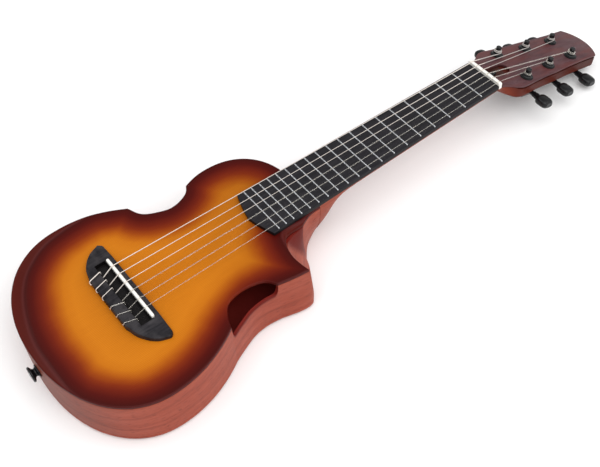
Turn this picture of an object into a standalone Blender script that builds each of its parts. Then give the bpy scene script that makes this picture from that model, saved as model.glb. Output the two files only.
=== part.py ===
"""A six-string guitalele, built from the pieces that it comes apart into on a bench.

Everything is in metres, +Z up. The instrument lies on its back: +X runs from the tail to the head,
+Y is the bass side, and the origin is the point of the back's flat face that lies under the saddle.
"""

import math

import bmesh
import bpy
import numpy as np
from mathutils import Matrix, Vector

GAP = 0.0003  # air left between pieces that touch

# Strings and scale
SCALE_LENGTH = 0.433
FRET_COUNT = 19
JOINT_FRET = 14  # the fret at which the body begins
SPREAD_AT_NUT = 0.040  # between the two outer strings
SPREAD_AT_SADDLE = 0.058
STRING_DIAMETERS = (0.00071, 0.00082, 0.00102, 0.00076, 0.00089, 0.00107)  # first to sixth
WINDING_AIR = 0.00050  # between neighbouring turns on a post
WINDING_TURNS = 2.0
LOOP_POINTS = 24

# Body
BODY_LENGTH = 0.2983
BODY_DEPTH = 0.060
LOWER_BOUT = 0.223
UPPER_BOUT = 0.1642
WAIST_TOP = 0.1240  # across the top at its narrowest
WAIST_SIDE = 0.0753  # centreline to the side under the port
UPPER_BOUT_SETBACK = 0.060  # these four are measured back from the neck joint
UPPER_CORNER_SETBACK = 0.0854
LOWER_CORNER_SETBACK = 0.1452
LOWER_BOUT_SETBACK = 0.217
UPPER_CORNER_HALF = 0.0764
LOWER_CORNER_HALF = 0.0887
SHOULDER_FLAT = 0.018  # half of the straight front
SIDE_THICKNESS = 0.0035
TOP_THICKNESS = 0.0035
BACK_THICKNESS = 0.006
BACK_RADIUS = 0.0045
TOP_EDGE_WIDTH = 0.0014
TOP_EDGE_DROP = 0.0010
BEVEL_WIDTH = 0.0155  # the forearm bevel at its widest
BEVEL_DROP = 0.0054
PORT_DEPTH_TAIL = 0.0160  # the sound port's sill, below the top, at its two ends
PORT_DEPTH_HEAD = 0.0125

# Neck and fretboard
BOARD_AT_NUT = 0.0472
BOARD_AT_END = 0.0608
BOARD_THICKNESS = 0.0044
BOARD_END_ARCH = 0.008
BOARD_PAST_LAST_FRET = 0.0068
FRET_LENGTH_INSET = 0.0009
FRET_WIDTH = 0.0020
FRET_HEIGHT = 0.0010
TANG_WIDTH = 0.0006
TANG_DEPTH = 0.0015
NECK_DEPTH_AT_NUT = 0.0112
NECK_DEPTH_AT_HEEL = 0.0142
HEEL_DEPTH = 0.0545
HEEL_LENGTH = 0.060
NUT_THICKNESS = 0.0045
NUT_HEIGHT = 0.0080
TRUSS_ROD_DIAMETER = 0.0052
TRUSS_ROD_START = 0.012  # from the neck joint
TRUSS_ROD_REACH = 0.013  # its nut's end, past the string nut

# Head
HEAD_TILT = math.radians(15.3)
HEAD_LENGTH = 0.1605
HEAD_THICKNESS = 0.0146
HEAD_PLATE_THICKNESS = 0.0020
HEAD_END_RADIUS = 0.0416
RECESS_WIDTH = 0.0150
RECESS_LENGTH = 0.0330

# Tuning machines
POST_STATIONS = (0.0388, 0.0794, 0.1194)  # from the nut's back, along the head's face
POST_SPACINGS = (0.0226, 0.0179, 0.0153)  # from the centreline
POST_RADIUS = 0.0030
POST_HEIGHT = 0.0088
BARREL_RADIUS = 0.0046
COLLAR_RADIUS = 0.0056
WASHER_RADIUS = 0.0064
COLLAR_HEIGHT = 0.0018
WASHER_HEIGHT = 0.0008
HOUSING_WIDTH = 0.0170  # across the head
HOUSING_FRONT = 0.0080  # housing's reach from the post towards the nut
HOUSING_BACK = 0.0150  # and towards the head's end
HOUSING_HEIGHT = 0.0085
WORM_OFFSET = 0.0102  # from the post's axis to the worm's
WORM_DEPTH = 0.0193  # worm's axis below the head's face
SHAFT_RADIUS = 0.0025
KNOB_CENTRES = (0.0471, 0.0425, 0.0403)  # from the centreline
KNOB_LENGTH = 0.0160
KNOB_WIDTH = 0.0152
KNOB_THICKNESS = 0.0100

# Bridge
BRIDGE_WIDTH = 0.0308
BRIDGE_LENGTH = 0.1285
BRIDGE_AHEAD = 0.0045  # its front edge, ahead of the scale's end
BRIDGE_HEIGHT = 0.0073
WING_TIP_HEIGHT = 0.0036
SADDLE_LENGTH = 0.081
SADDLE_THICKNESS = 0.0030
SADDLE_ABOVE = 0.0026  # saddle's top over the bridge
SADDLE_SET_IN = 0.0030
SADDLE_SETBACK = 0.0018  # behind the scale's end, to play in tune
SADDLE_WALL = 0.0008  # wood left between the saddle's slot and the channel
CHANNEL_FLOOR = 0.0032  # above the top, between the saddle and the tie block
BRIDGE_EDGE = 0.0014
TIE_BLOCK_WIDTH = 0.0115
TIE_HOLE_RADIUS = 0.0011
BASS_LOOP = (0.0021, 0.0047)  # from a hole to its loop, at the tie block's rear and front
TREBLE_LOOP = (-0.0014, -0.0047)

# Inside and tail
BRACE_WIDTH = 0.008
BRACE_HEIGHT = 0.011
TOP_BRACE_SETBACK = 0.068  # from the neck joint
BRACE_END_AIR = 0.009  # a brace's end to the side
NECK_BLOCK_LENGTH = 0.028
NECK_BLOCK_HALF = 0.023
NECK_BLOCK_FOOT = 0.006  # its treble side at the back, where the cutaway takes room
TAIL_BLOCK_DEPTH = 0.022
TAIL_BLOCK_HALF = 0.034
PLATE_THICKNESS = 0.0025
PLATE_MARGIN = 0.006  # round the bridge's footprint
STRAP_DROP = 0.0270  # strap button below the top
STRAP_FLANGE_RADIUS = 0.0065
STRAP_CAP_RADIUS = 0.0078
STRAP_STEM_RADIUS = 0.0040
STRAP_HEIGHT = 0.0080
SCREW_RADIUS = 0.0017
SCREW_LENGTH = 0.0240

JOINT_X = SCALE_LENGTH * 2.0 ** (-JOINT_FRET / 12.0)
TAIL_X = JOINT_X - BODY_LENGTH
BOARD_BOTTOM = BODY_DEPTH + GAP
BOARD_TOP = BOARD_BOTTOM + BOARD_THICKNESS
FRET_TOP = BOARD_TOP + GAP + FRET_HEIGHT
BOARD_END = SCALE_LENGTH * 2.0 ** (-FRET_COUNT / 12.0) - BOARD_PAST_LAST_FRET
HEAD_PIVOT = Vector((SCALE_LENGTH + NUT_THICKNESS, 0.0, BODY_DEPTH))
SEAT_HEIGHT = GAP + WASHER_HEIGHT + COLLAR_HEIGHT  # the collar's top above the head's face
BRIDGE_FRONT = BRIDGE_AHEAD
BRIDGE_REAR = BRIDGE_AHEAD - BRIDGE_WIDTH
BRIDGE_TOP = BODY_DEPTH + GAP + BRIDGE_HEIGHT
SADDLE_TOP = BRIDGE_TOP + SADDLE_ABOVE
BLOCK_FRONT = BRIDGE_REAR + TIE_BLOCK_WIDTH
TIE_HOLE_Z = BRIDGE_TOP - 0.0034
ROD_AXIS_Z = BODY_DEPTH - GAP - TRUSS_ROD_DIAMETER / 2.0
STRAP_Z = BODY_DEPTH - STRAP_DROP


def clear_scene():
    for thing in list(bpy.data.objects):
        bpy.data.objects.remove(thing, do_unlink=True)


# Materials

FINISHES = {
    "sunburst_top": ((0.62, 0.20, 0.03), 0.25, 0.0),
    "stained_mahogany": ((0.30, 0.09, 0.05), 0.38, 0.0),
    "bare_wood": ((0.60, 0.42, 0.25), 0.65, 0.0),
    "head_face": ((0.10, 0.035, 0.04), 0.35, 0.0),
    "dark_board": ((0.025, 0.022, 0.027), 0.5, 0.0),
    "bone": ((0.86, 0.84, 0.76), 0.35, 0.0),
    "fret_metal": ((0.75, 0.75, 0.74), 0.25, 1.0),
    "black_metal": ((0.02, 0.02, 0.022), 0.35, 0.9),
    "black_plastic": ((0.015, 0.015, 0.016), 0.3, 0.0),
    "steel": ((0.55, 0.55, 0.56), 0.35, 1.0),
    "wound_string": ((0.72, 0.68, 0.62), 0.35, 0.9),
    "nylon_string": ((0.85, 0.82, 0.76), 0.3, 0.0),
}


def finish(name):
    if name in bpy.data.materials:
        return bpy.data.materials[name]
    colour, roughness, metallic = FINISHES[name]
    made = bpy.data.materials.new(name)
    made.use_nodes = True
    shader = made.node_tree.nodes["Principled BSDF"]
    shader.inputs["Base Color"].default_value = (*colour, 1.0)
    shader.inputs["Roughness"].default_value = roughness
    shader.inputs["Metallic"].default_value = metallic
    return made


# Mesh helpers


def add_mesh(name, points, faces, material, smooth=None, parent=None):
    mesh = bpy.data.meshes.new(name)
    mesh.from_pydata([tuple(p) for p in points], [], faces)
    mesh.materials.append(finish(material) if material else None)
    thing = bpy.data.objects.new(name, mesh)
    bpy.context.scene.collection.objects.link(thing)
    bm = bmesh.new()
    bm.from_mesh(mesh)
    bmesh.ops.recalc_face_normals(bm, faces=bm.faces)
    bm.to_mesh(mesh)
    bm.free()
    if smooth is not None:
        mesh.shade_smooth()
        mesh.set_sharp_from_angle(angle=math.radians(smooth))
    if parent is not None:
        thing.parent = parent
    return thing


def loft(rings, caps=True, closed=False):
    """Points and faces of a skin through rings of the same number of points."""
    size = len(rings[0])
    points = [p for ring in rings for p in ring]
    last = len(rings) if closed else len(rings) - 1
    faces = []
    for k in range(last):
        here, there = k * size, (k + 1) % len(rings) * size
        for i in range(size):
            j = (i + 1) % size
            faces.append((here + i, here + j, there + j, there + i))
    if caps:
        faces.append(tuple(range(size))[::-1])
        faces.append(tuple(range((len(rings) - 1) * size, len(rings) * size)))
    return points, faces


def turned(profile, sides):
    """A solid of revolution about Z. The profile's (radius, z) pairs start and end off the axis."""
    angles = [2.0 * math.pi * k / sides for k in range(sides)]
    rings = [[(r * math.cos(a), r * math.sin(a), z) for a in angles] for r, z in profile]
    return loft(rings)


def box_points(low, high):
    xs, ys, zs = zip(low, high)
    ring = [(xs[0], ys[0]), (xs[1], ys[0]), (xs[1], ys[1]), (xs[0], ys[1])]
    return loft([[(x, y, z) for x, y in ring] for z in zs])


def cutter(points, faces, parent=None):
    thing = add_mesh("cutter", points, faces, None, parent=parent)
    thing.hide_render = True
    thing.display_type = "WIRE"
    return thing


def cut(target, tool):
    change = target.modifiers.new("cut", "BOOLEAN")
    change.operation = "DIFFERENCE"
    change.solver = "EXACT"
    change.object = tool


def empty(name, matrix, parent=None):
    thing = bpy.data.objects.new(name, None)
    bpy.context.scene.collection.objects.link(thing)
    thing.parent = parent
    thing.matrix_world = matrix
    return thing


def curve_through(knots, at):
    """Smooth values at the places `at` through knots of (place, value, ...)."""
    table = np.array(knots, float)
    place, value = table[:, 0], table[:, 1:]
    slope = np.gradient(value, place, axis=0)
    at = np.clip(np.atleast_1d(np.asarray(at, float)), place[0], place[-1])
    k = np.clip(np.searchsorted(place, at, side="right") - 1, 0, len(place) - 2)
    width = (place[k + 1] - place[k])[:, None]
    t = ((at - place[k])[:, None]) / width
    rest = (1 - t) ** 2 * (1 + 2 * t) * value[k] + t**2 * (3 - 2 * t) * value[k + 1]
    return rest + width * (t * (1 - t) ** 2 * slope[k] - t**2 * (1 - t) * slope[k + 1])


def path_through(corners, count):
    """Evenly numbered points of a smooth curve through 2-D or 3-D corners."""
    corners = np.array(corners, float)
    steps = np.linalg.norm(np.diff(corners, axis=0), axis=1)
    place = np.concatenate([[0.0], np.cumsum(steps)])
    knots = np.column_stack([place, corners])
    return curve_through(knots, np.linspace(0.0, place[-1], count))


def superellipse(centre, reach, power, start, end, count):
    angle = np.radians(np.linspace(start, end, count))
    c, s = np.cos(angle), np.sin(angle)
    x = centre[0] + reach[0] * np.sign(c) * np.abs(c) ** (2.0 / power)
    y = centre[1] + reach[1] * np.sign(s) * np.abs(s) ** (2.0 / power)
    return np.column_stack([x, y])


def inset(outline, distance):
    """A closed outline moved inwards, with mitred corners; the distance may differ by point."""
    before = outline - np.roll(outline, 1, axis=0)
    after = np.roll(outline, -1, axis=0) - outline
    normals = []
    for edge in (before, after):
        unit = edge / np.linalg.norm(edge, axis=1)[:, None]
        normals.append(np.column_stack([-unit[:, 1], unit[:, 0]]))
    total = normals[0] + normals[1]
    mitre = total / (1.0 + np.sum(normals[0] * normals[1], axis=1))[:, None]
    return outline + mitre * np.broadcast_to(distance, len(outline))[:, None]


# The body's outline

UPPER_X = JOINT_X - UPPER_BOUT_SETBACK
UPPER_CORNER_X = JOINT_X - UPPER_CORNER_SETBACK
LOWER_CORNER_X = JOINT_X - LOWER_CORNER_SETBACK
LOWER_X = JOINT_X - LOWER_BOUT_SETBACK
LOWER_REACH = LOWER_X - TAIL_X
UPPER_HALF = UPPER_BOUT / 2.0
LOWER_HALF = LOWER_BOUT / 2.0
SHOULDER_POWER = 2.25
TAIL_POWER = 2.17
PORT_POINTS = 11
HEEL_POWER = 2.3


def from_corners(share):
    """A station between the lower corner (0) and the upper one (1)."""
    return LOWER_CORNER_X + share * (UPPER_CORNER_X - LOWER_CORNER_X)


def shoulder():
    centre = (UPPER_X, SHOULDER_FLAT)
    reach = (UPPER_BOUT_SETBACK, UPPER_HALF - SHOULDER_FLAT)
    return superellipse(centre, reach, SHOULDER_POWER, 0.0, 90.0, 11)


def bass_waist():
    """From the upper corner round the waist to the lower corner, in from the two points."""
    narrow = WAIST_TOP / 2.0
    corners = [
        (UPPER_CORNER_X, UPPER_CORNER_HALF),
        (from_corners(0.93), narrow + 0.0082),
        (from_corners(0.76), narrow + 0.0023),
        (from_corners(0.545), narrow + 0.0002),
        (from_corners(0.36), narrow + 0.0035),
        (from_corners(0.11), narrow + 0.0127),
        (LOWER_CORNER_X, LOWER_CORNER_HALF),
    ]
    return path_through(corners, PORT_POINTS + 2)


def lower_front():
    """The lower bout from its corner to its widest place."""
    share = np.linspace(0.0, 1.0, 7)
    x = LOWER_CORNER_X + (LOWER_X - LOWER_CORNER_X) * share
    drop = (LOWER_HALF - LOWER_CORNER_HALF) * (1.0 - share) ** 2.0
    return np.column_stack([x, LOWER_HALF - drop])


def tail_quarter():
    return superellipse((LOWER_X, 0.0), (-LOWER_REACH, LOWER_HALF), TAIL_POWER, 90.0, 0.0, 13)


def port_edge():
    """The top's edge over the sound port, from the lower corner to the upper one."""
    narrow = -WAIST_TOP / 2.0
    corners = [
        (LOWER_CORNER_X, -LOWER_CORNER_HALF),
        (from_corners(0.08), narrow - 0.0135),
        (from_corners(0.20), narrow - 0.0040),
        (from_corners(0.45), narrow + 0.0006),
        (from_corners(0.66), narrow - 0.0001),
        (from_corners(0.88), narrow - 0.0048),
        (UPPER_CORNER_X, -UPPER_CORNER_HALF),
    ]
    return path_through(corners, PORT_POINTS + 2)


def side_under_port():
    """The side below the port keeps a shallow waist of its own."""
    corners = [
        (LOWER_CORNER_X, -LOWER_CORNER_HALF),
        (from_corners(0.25), -WAIST_SIDE - 0.0067),
        (from_corners(0.52), -WAIST_SIDE - 0.0009),
        (from_corners(0.74), -WAIST_SIDE + 0.0004),
        (UPPER_CORNER_X, -UPPER_CORNER_HALF),
    ]
    return path_through(corners, PORT_POINTS + 2)


# The horn and the cutaway, at the top, a quarter of the way down and at the back.
# Each pair is (distance behind the neck joint, distance to the treble side).
HORN = (
    ((0.0694, 0.0797), (0.0535, 0.0818)),
    ((0.0692, 0.0797), (0.0530, 0.0818)),
    ((0.0770, 0.0788), (0.0680, 0.0812), (0.0600, 0.0825), (0.0545, 0.0825), (0.0508, 0.0812)),
)
SCOOP = (
    ((0.0554, 0.0700), (0.0559, 0.0615), (0.0531, 0.0475), (0.0464, 0.0366)),
    ((0.0545, 0.0705), (0.0541, 0.0618), (0.0502, 0.0502), (0.0422, 0.0406)),
    ((0.0480, 0.0785), (0.0423, 0.0722), (0.0366, 0.0632), (0.0306, 0.0525), (0.0266, 0.0440)),
)
CREASE = ((0.0248, 0.0345), (0.0264, 0.0350), (0.0245, 0.0360))
FLANK = (
    ((0.0130, 0.0299), (0.0000, 0.0288)),
    ((0.0142, 0.0298), (0.0000, 0.0282)),
    ((0.0145, 0.0230), (0.0000, 0.0120)),
)
SCOOP_LEVEL = 0.25
SCOOP_EASE = 1.5


def cutaway(level):
    """From the upper corner round the horn, the scoop and the heel's flank to the joint."""

    def place(pair):
        return (JOINT_X - pair[0], -pair[1])

    start = (UPPER_CORNER_X, -UPPER_CORNER_HALF)
    tip, crease = place(HORN[level][-1]), place(CREASE[level])
    horn = path_through([start, *map(place, HORN[level])], 8)
    scoop = path_through([tip, *map(place, SCOOP[level]), crease], 14)
    flank = path_through([crease, *map(place, FLANK[level])], 6)
    return np.concatenate([horn[:-1], scoop[:-1], flank])


def plan(level, over_port):
    """The body's closed outline, counter-clockwise from the joint's centre."""
    front = np.column_stack([[JOINT_X] * 3, np.linspace(0.0, SHOULDER_FLAT, 4)[:3]])
    upper_rear = np.array(
        [
            (UPPER_X - 0.33 * (UPPER_X - UPPER_CORNER_X), UPPER_HALF - 0.0006),
            (UPPER_X - 0.66 * (UPPER_X - UPPER_CORNER_X), UPPER_HALF - 0.0025),
        ]
    )
    tail = tail_quarter()
    treble_tail = tail[::-1] * (1, -1)
    treble_front = lower_front()[::-1] * (1, -1)
    waist = port_edge() if over_port else side_under_port()
    pieces = [
        front,
        shoulder(),
        upper_rear,
        bass_waist(),
        lower_front()[1:],
        tail[1:],
        treble_tail[1:],
        treble_front[1:],
        waist[1:-1],
        cutaway(level),
        np.array([(JOINT_X, -0.0065)]) if level == 2 else np.array([(JOINT_X, -0.0150)]),
    ]
    first_port = sum(len(p) for p in pieces[:8])
    in_port = np.zeros(sum(len(p) for p in pieces), bool)
    in_port[first_port : first_port + PORT_POINTS] = True
    return np.concatenate(pieces), in_port


def plan_at(z, over_port=False):
    """The outline at a height z, or at one height for each of its points."""
    high, middle, low = (plan(level, over_port)[0] for level in range(3))
    depth = np.broadcast_to((BODY_DEPTH - np.asarray(z, float)) / BODY_DEPTH, len(high))[:, None]
    first = np.clip(depth / SCOOP_LEVEL, 0.0, 1.0)
    second = np.clip((depth - SCOOP_LEVEL) / (1.0 - SCOOP_LEVEL), 0.0, 1.0) ** SCOOP_EASE
    upper = high + (middle - high) * first
    return np.where(depth <= SCOOP_LEVEL, upper, middle + (low - middle) * second)


# The forearm bevel's width by the angle about the lower bout, from the tail to the bass side
BEVEL_SHAPE = (
    (-180, 0.0),
    (-44, 0.0),
    (-36, 0.13),
    (-26, 0.36),
    (-13, 0.54),
    (0, 0.60),
    (21, 0.82),
    (37, 0.96),
    (52, 1.0),
    (69, 1.0),
    (81, 0.81),
    (92, 0.60),
    (101, 0.36),
    (112, 0.0),
    (180, 0.0),
)


def edge_form(outline):
    """How far in the top's edge starts to fall, and how far it falls, at each point."""
    angle = np.degrees(np.arctan2(outline[:, 1], LOWER_X - outline[:, 0]))
    share = np.clip(curve_through(BEVEL_SHAPE, angle)[:, 0], 0.0, 1.0)
    share[outline[:, 0] > LOWER_CORNER_X] = 0.0
    width = TOP_EDGE_WIDTH + (BEVEL_WIDTH - TOP_EDGE_WIDTH) * share
    drop = TOP_EDGE_DROP + (BEVEL_DROP - TOP_EDGE_DROP) * share**1.4
    return width, drop


def with_height(outline, z):
    return [(x, y, h) for (x, y), h in zip(outline, np.broadcast_to(z, len(outline)))]


def build_soundboard():
    outline = plan(0, True)[0]
    width, drop = edge_form(outline)
    lip = BODY_DEPTH - drop - (TOP_THICKNESS - TOP_EDGE_DROP)
    rings = [
        with_height(inset(outline, width), BODY_DEPTH),
        with_height(inset(outline, width * 0.25), BODY_DEPTH - drop * 0.5),
        with_height(outline, BODY_DEPTH - drop),
        with_height(outline, lip),
        with_height(inset(outline, width + 0.002), BODY_DEPTH - TOP_THICKNESS),
    ]
    return add_mesh("soundboard", *loft(rings), "sunburst_top", smooth=14)


def side_heights():
    """The side's top edge: under the soundboard, or the sound port's sill."""
    outline, in_port = plan(0, False)
    drop = edge_form(outline)[1]
    top = BODY_DEPTH - drop - (TOP_THICKNESS - TOP_EDGE_DROP) - GAP
    top[in_port] = BODY_DEPTH - np.linspace(PORT_DEPTH_TAIL, PORT_DEPTH_HEAD, PORT_POINTS)
    return top


def build_sides():
    top = side_heights()
    bottom = BACK_THICKNESS + GAP
    levels = [top + (bottom - top) * share for share in (0.0, 0.25, 0.5, 0.75, 1.0)]
    outer = [with_height(plan_at(z), z) for z in levels]
    inner = [with_height(inset(plan_at(z), SIDE_THICKNESS), z) for z in levels[::-2]]
    rim = add_mesh("rim", *loft(outer + inner, caps=False, closed=True), "stained_mahogany", 28)
    hole = cutter(*turned([(SCREW_RADIUS + GAP, -0.012), (SCREW_RADIUS + GAP, 0.012)], 12))
    hole.matrix_world = Matrix.Translation((TAIL_X, 0.0, STRAP_Z)) @ Matrix.Rotation(
        math.pi / 2.0, 4, "Y"
    )
    cut(rim, hole)
    return rim


def build_back():
    heights = (0.0, BACK_RADIUS * 0.3, BACK_RADIUS, BACK_THICKNESS)
    insets = (BACK_RADIUS, BACK_RADIUS * 0.29, 0.0, 0.0)
    rings = [with_height(inset(plan_at(z), d), z) for z, d in zip(heights, insets)]
    return add_mesh("back", *loft(rings), "stained_mahogany", smooth=28)


# Blocks, braces and the bridge plate


def build_inside():
    ceiling = BODY_DEPTH - TOP_THICKNESS - GAP
    floor = BACK_THICKNESS + GAP
    front = JOINT_X - SIDE_THICKNESS - GAP
    rear = front - NECK_BLOCK_LENGTH
    rings = []
    for z, treble in ((ceiling, NECK_BLOCK_HALF), (floor, NECK_BLOCK_FOOT)):
        ring = [(rear, -treble), (front, -treble), (front, NECK_BLOCK_HALF), (rear, NECK_BLOCK_HALF)]
        rings.append([(x, y, z) for x, y in ring])
    add_mesh("neck_block", *loft(rings), "bare_wood")

    outline = plan(0, False)[0]
    inner = inset(outline, SIDE_THICKNESS + GAP)
    near_tail = inner[(np.abs(inner[:, 1]) < TAIL_BLOCK_HALF) & (inner[:, 0] < LOWER_X)]
    face = TAIL_X + SIDE_THICKNESS + TAIL_BLOCK_DEPTH
    loop = [(x, y) for x, y in near_tail] + [(face, near_tail[-1][1]), (face, near_tail[0][1])]
    top = BODY_DEPTH - BEVEL_DROP - TOP_THICKNESS - 0.0010
    rings = [[(x, y, z) for x, y in loop] for z in (floor, top)]
    tail = add_mesh("tail_block", *loft(rings), "bare_wood")
    pilot = cutter(*turned([(SCREW_RADIUS + GAP, 0.0), (SCREW_RADIUS + GAP, SCREW_LENGTH)], 12))
    pilot.matrix_world = Matrix.Translation((TAIL_X - 0.004, 0.0, STRAP_Z)) @ Matrix.Rotation(
        math.pi / 2.0, 4, "Y"
    )
    cut(tail, pilot)

    half = UPPER_HALF - SIDE_THICKNESS - BRACE_END_AIR
    add_mesh("top_brace", *brace(JOINT_X - TOP_BRACE_SETBACK, half, ceiling, -1), "bare_wood")
    half = LOWER_HALF - SIDE_THICKNESS - BRACE_END_AIR
    add_mesh("back_brace", *brace(LOWER_X, half, floor, 1), "bare_wood")
    half = BRIDGE_LENGTH / 2.0
    low = (BRIDGE_REAR - PLATE_MARGIN, -half, ceiling - PLATE_THICKNESS)
    high = (BRIDGE_FRONT + PLATE_MARGIN, half, ceiling)
    add_mesh("bridge_plate", *box_points(low, high), "bare_wood")


def brace(x, half, seat, up):
    """A bar glued across a plate, its height scooped away towards both ends."""
    stations = ((-1.0, 0.25), (-0.8, 0.45), (-0.5, 1.0), (0.5, 1.0), (0.8, 0.45), (1.0, 0.25))
    rings = []
    for share, tall in stations:
        y, far = share * half, seat + up * BRACE_HEIGHT * tall
        wide, thin = BRACE_WIDTH / 2.0, BRACE_WIDTH / 4.0
        rings.append([(x - wide, y, seat), (x + wide, y, seat), (x + thin, y, far), (x - thin, y, far)])
    return loft(rings)


# Fretboard, frets, nut and truss rod


def board_half(x):
    share = (SCALE_LENGTH - x) / (SCALE_LENGTH - BOARD_END)
    return (BOARD_AT_NUT + (BOARD_AT_END - BOARD_AT_NUT) * share) / 2.0


def fret_x(number):
    return SCALE_LENGTH * 2.0 ** (-number / 12.0)


def build_fretboard():
    slot = TANG_WIDTH / 2.0 + GAP
    floor = BOARD_TOP - TANG_DEPTH - GAP
    side = [(BOARD_END, BOARD_BOTTOM), (BOARD_END, BOARD_TOP)]
    for number in range(FRET_COUNT, 0, -1):
        x = fret_x(number)
        side += [(x - slot, BOARD_TOP), (x - slot, floor), (x + slot, floor), (x + slot, BOARD_TOP)]
    side += [(SCALE_LENGTH, BOARD_TOP), (SCALE_LENGTH, BOARD_BOTTOM)]
    rings = []
    for share in (-1.0, -0.6, 0.0, 0.6, 1.0):
        arch = BOARD_END_ARCH * (1.0 - abs(share) ** 1.3)
        ring = []
        for x, z in side:
            at = x - arch if x == BOARD_END else x
            ring.append((at, share * board_half(x), z))
        rings.append(ring)
    return add_mesh("fretboard", *loft(rings), "dark_board")


def build_frets():
    """Each fret is a domed crown on the board with a tang down in its slot."""
    wide, thin = FRET_WIDTH / 2.0, TANG_WIDTH / 2.0
    seat = BOARD_TOP + GAP
    section = [(-thin, BOARD_TOP - TANG_DEPTH), (-thin, seat), (-wide, seat)]
    dome = np.radians((35, 70, 110, 145))
    section += [(-wide * math.cos(a), seat + FRET_HEIGHT * math.sin(a)) for a in dome]
    section += [(wide, seat), (thin, seat), (thin, BOARD_TOP - TANG_DEPTH)]
    for number in range(1, FRET_COUNT + 1):
        x = fret_x(number)
        half = board_half(x) - FRET_LENGTH_INSET
        rings = [[(x + dx, y, z) for dx, z in section] for y in (-half, half)]
        add_mesh(f"fret_{number:02d}", *loft(rings), "fret_metal", smooth=40)


def string_share(number):
    """-0.5 for the first string, on the treble side, to 0.5 for the sixth, the lowest."""
    return (number - 1) / 5.0 - 0.5


def build_nut():
    """A block notched for the strings, lower towards the head."""
    half = board_half(SCALE_LENGTH)
    base = BODY_DEPTH + GAP
    top = base + NUT_HEIGHT - GAP
    rings = []
    for x, fall in ((SCALE_LENGTH + GAP, 0.0), (SCALE_LENGTH + NUT_THICKNESS, 0.0008)):
        ring = [(-half, base), (-half, top - fall - 0.0010), (-half + 0.0012, top - fall)]
        for number in range(1, 7):
            y = string_share(number) * SPREAD_AT_NUT
            wide = STRING_DIAMETERS[number - 1] / 2.0 + GAP
            low = nut_slot() - fall
            ring += [(y - wide, top - fall), (y - wide, low), (y + wide, low), (y + wide, top - fall)]
        ring += [(half - 0.0012, top - fall), (half, top - fall - 0.0010), (half, base)]
        rings.append([(x, y, z) for y, z in ring])
    return add_mesh("nut", *loft(rings), "bone")


def nut_slot():
    """The floor of the nut's notches, a little above the frets."""
    return FRET_TOP + 0.0004


def build_truss_rod():
    """A round rod in its channel, with a turned nut that opens into the head's recess."""
    rod, barrel = TRUSS_ROD_DIAMETER / 2.0, TRUSS_ROD_DIAMETER / 2.0 - 0.0002
    end = SCALE_LENGTH + NUT_THICKNESS + TRUSS_ROD_REACH
    start = JOINT_X + TRUSS_ROD_START
    profile = [
        (rod * 0.8, 0.0),
        (rod, 0.001),
        (rod, end - 0.012 - start),
        (barrel * 0.7, end - 0.012 - start),
        (barrel * 0.7, end - 0.009 - start),
        (barrel, end - 0.009 - start),
        (barrel, end - start),
        (barrel * 0.55, end - start),
        (barrel * 0.55, end - 0.005 - start),
    ]
    made = add_mesh("truss_rod", *turned(profile, 12), "steel", smooth=40)
    made.matrix_world = Matrix.Translation((start, 0.0, ROD_AXIS_Z)) @ Matrix.Rotation(
        math.pi / 2.0, 4, "Y"
    )
    return made


# Neck and head

# The heel's depth along its length: share of the length, share of the depth added
HEEL_SHAPE = (
    (0.0, 1.0),
    (0.07, 0.92),
    (0.16, 0.80),
    (0.24, 0.64),
    (0.32, 0.44),
    (0.40, 0.28),
    (0.52, 0.12),
    (0.70, 0.03),
    (1.0, 0.0),
)
# Half of the head's width: distance from the nut, half width
HEAD_SHAPE = (
    (0.0, 0.0236),
    (0.005, 0.0248),
    (0.009, 0.0268),
    (0.014, 0.0300),
    (0.019, 0.0328),
    (0.025, 0.0341),
    (0.032, 0.0337),
    (0.042, 0.0325),
    (0.054, 0.0314),
    (0.070, 0.0304),
    (0.085, 0.0296),
    (0.105, 0.0281),
    (0.125, 0.0270),
    (0.151, 0.0266),
)
HEAD_SQUARE = 9.0  # how square the head's section is
HEAD_SQUARE_FROM = 0.018  # distance from the nut at which it is fully so
NECK_POWER = 1.7
BOARD_OVERHANG = 0.0003  # the board's edge past the neck's
SECTION_POINTS = 13


def head_half(s):
    """Half of the head's width at a distance s from the nut, with its arched end."""
    side = curve_through(HEAD_SHAPE, s)[:, 0]
    sagitta = np.clip(HEAD_LENGTH - np.atleast_1d(s), 0.0, HEAD_END_RADIUS)
    arch = np.sqrt(np.clip(HEAD_END_RADIUS**2 - (HEAD_END_RADIUS - sagitta) ** 2, 0.0, None))
    return np.minimum(side, arch)


def head_stations(start):
    early = list(np.linspace(start, 0.034, 8))
    later = [0.048, 0.066, 0.092, 0.120, 0.140]
    end = [HEAD_LENGTH - d for d in (0.0097, 0.0068, 0.0042, 0.0020, 0.0001)]
    return np.array(early + later + end)


def section(half, depth, power):
    """The flat top and rounded underside of the neck, across and down."""
    angle = np.linspace(0.0, math.pi, SECTION_POINTS)
    c, s = np.cos(angle), np.sin(angle)
    across = half * np.sign(c) * np.abs(c) ** (2.0 / power)
    return np.column_stack([across, -depth * np.abs(s) ** (2.0 / power)])


def neck_ring(x):
    """A section of the neck or its heel, square to its length."""
    behind = (x - JOINT_X) / HEEL_LENGTH
    heel = curve_through(HEEL_SHAPE, behind)[0, 0]
    share = (SCALE_LENGTH - x) / (SCALE_LENGTH - JOINT_X)
    thin = NECK_DEPTH_AT_NUT + (NECK_DEPTH_AT_HEEL - NECK_DEPTH_AT_NUT) * share
    depth = thin + (HEEL_DEPTH - thin) * heel
    half = board_half(x) - BOARD_OVERHANG
    shape = section(half, depth, NECK_POWER + (HEEL_POWER - NECK_POWER) * heel)
    return [(x, y, BODY_DEPTH + z) for y, z in shape]


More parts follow.
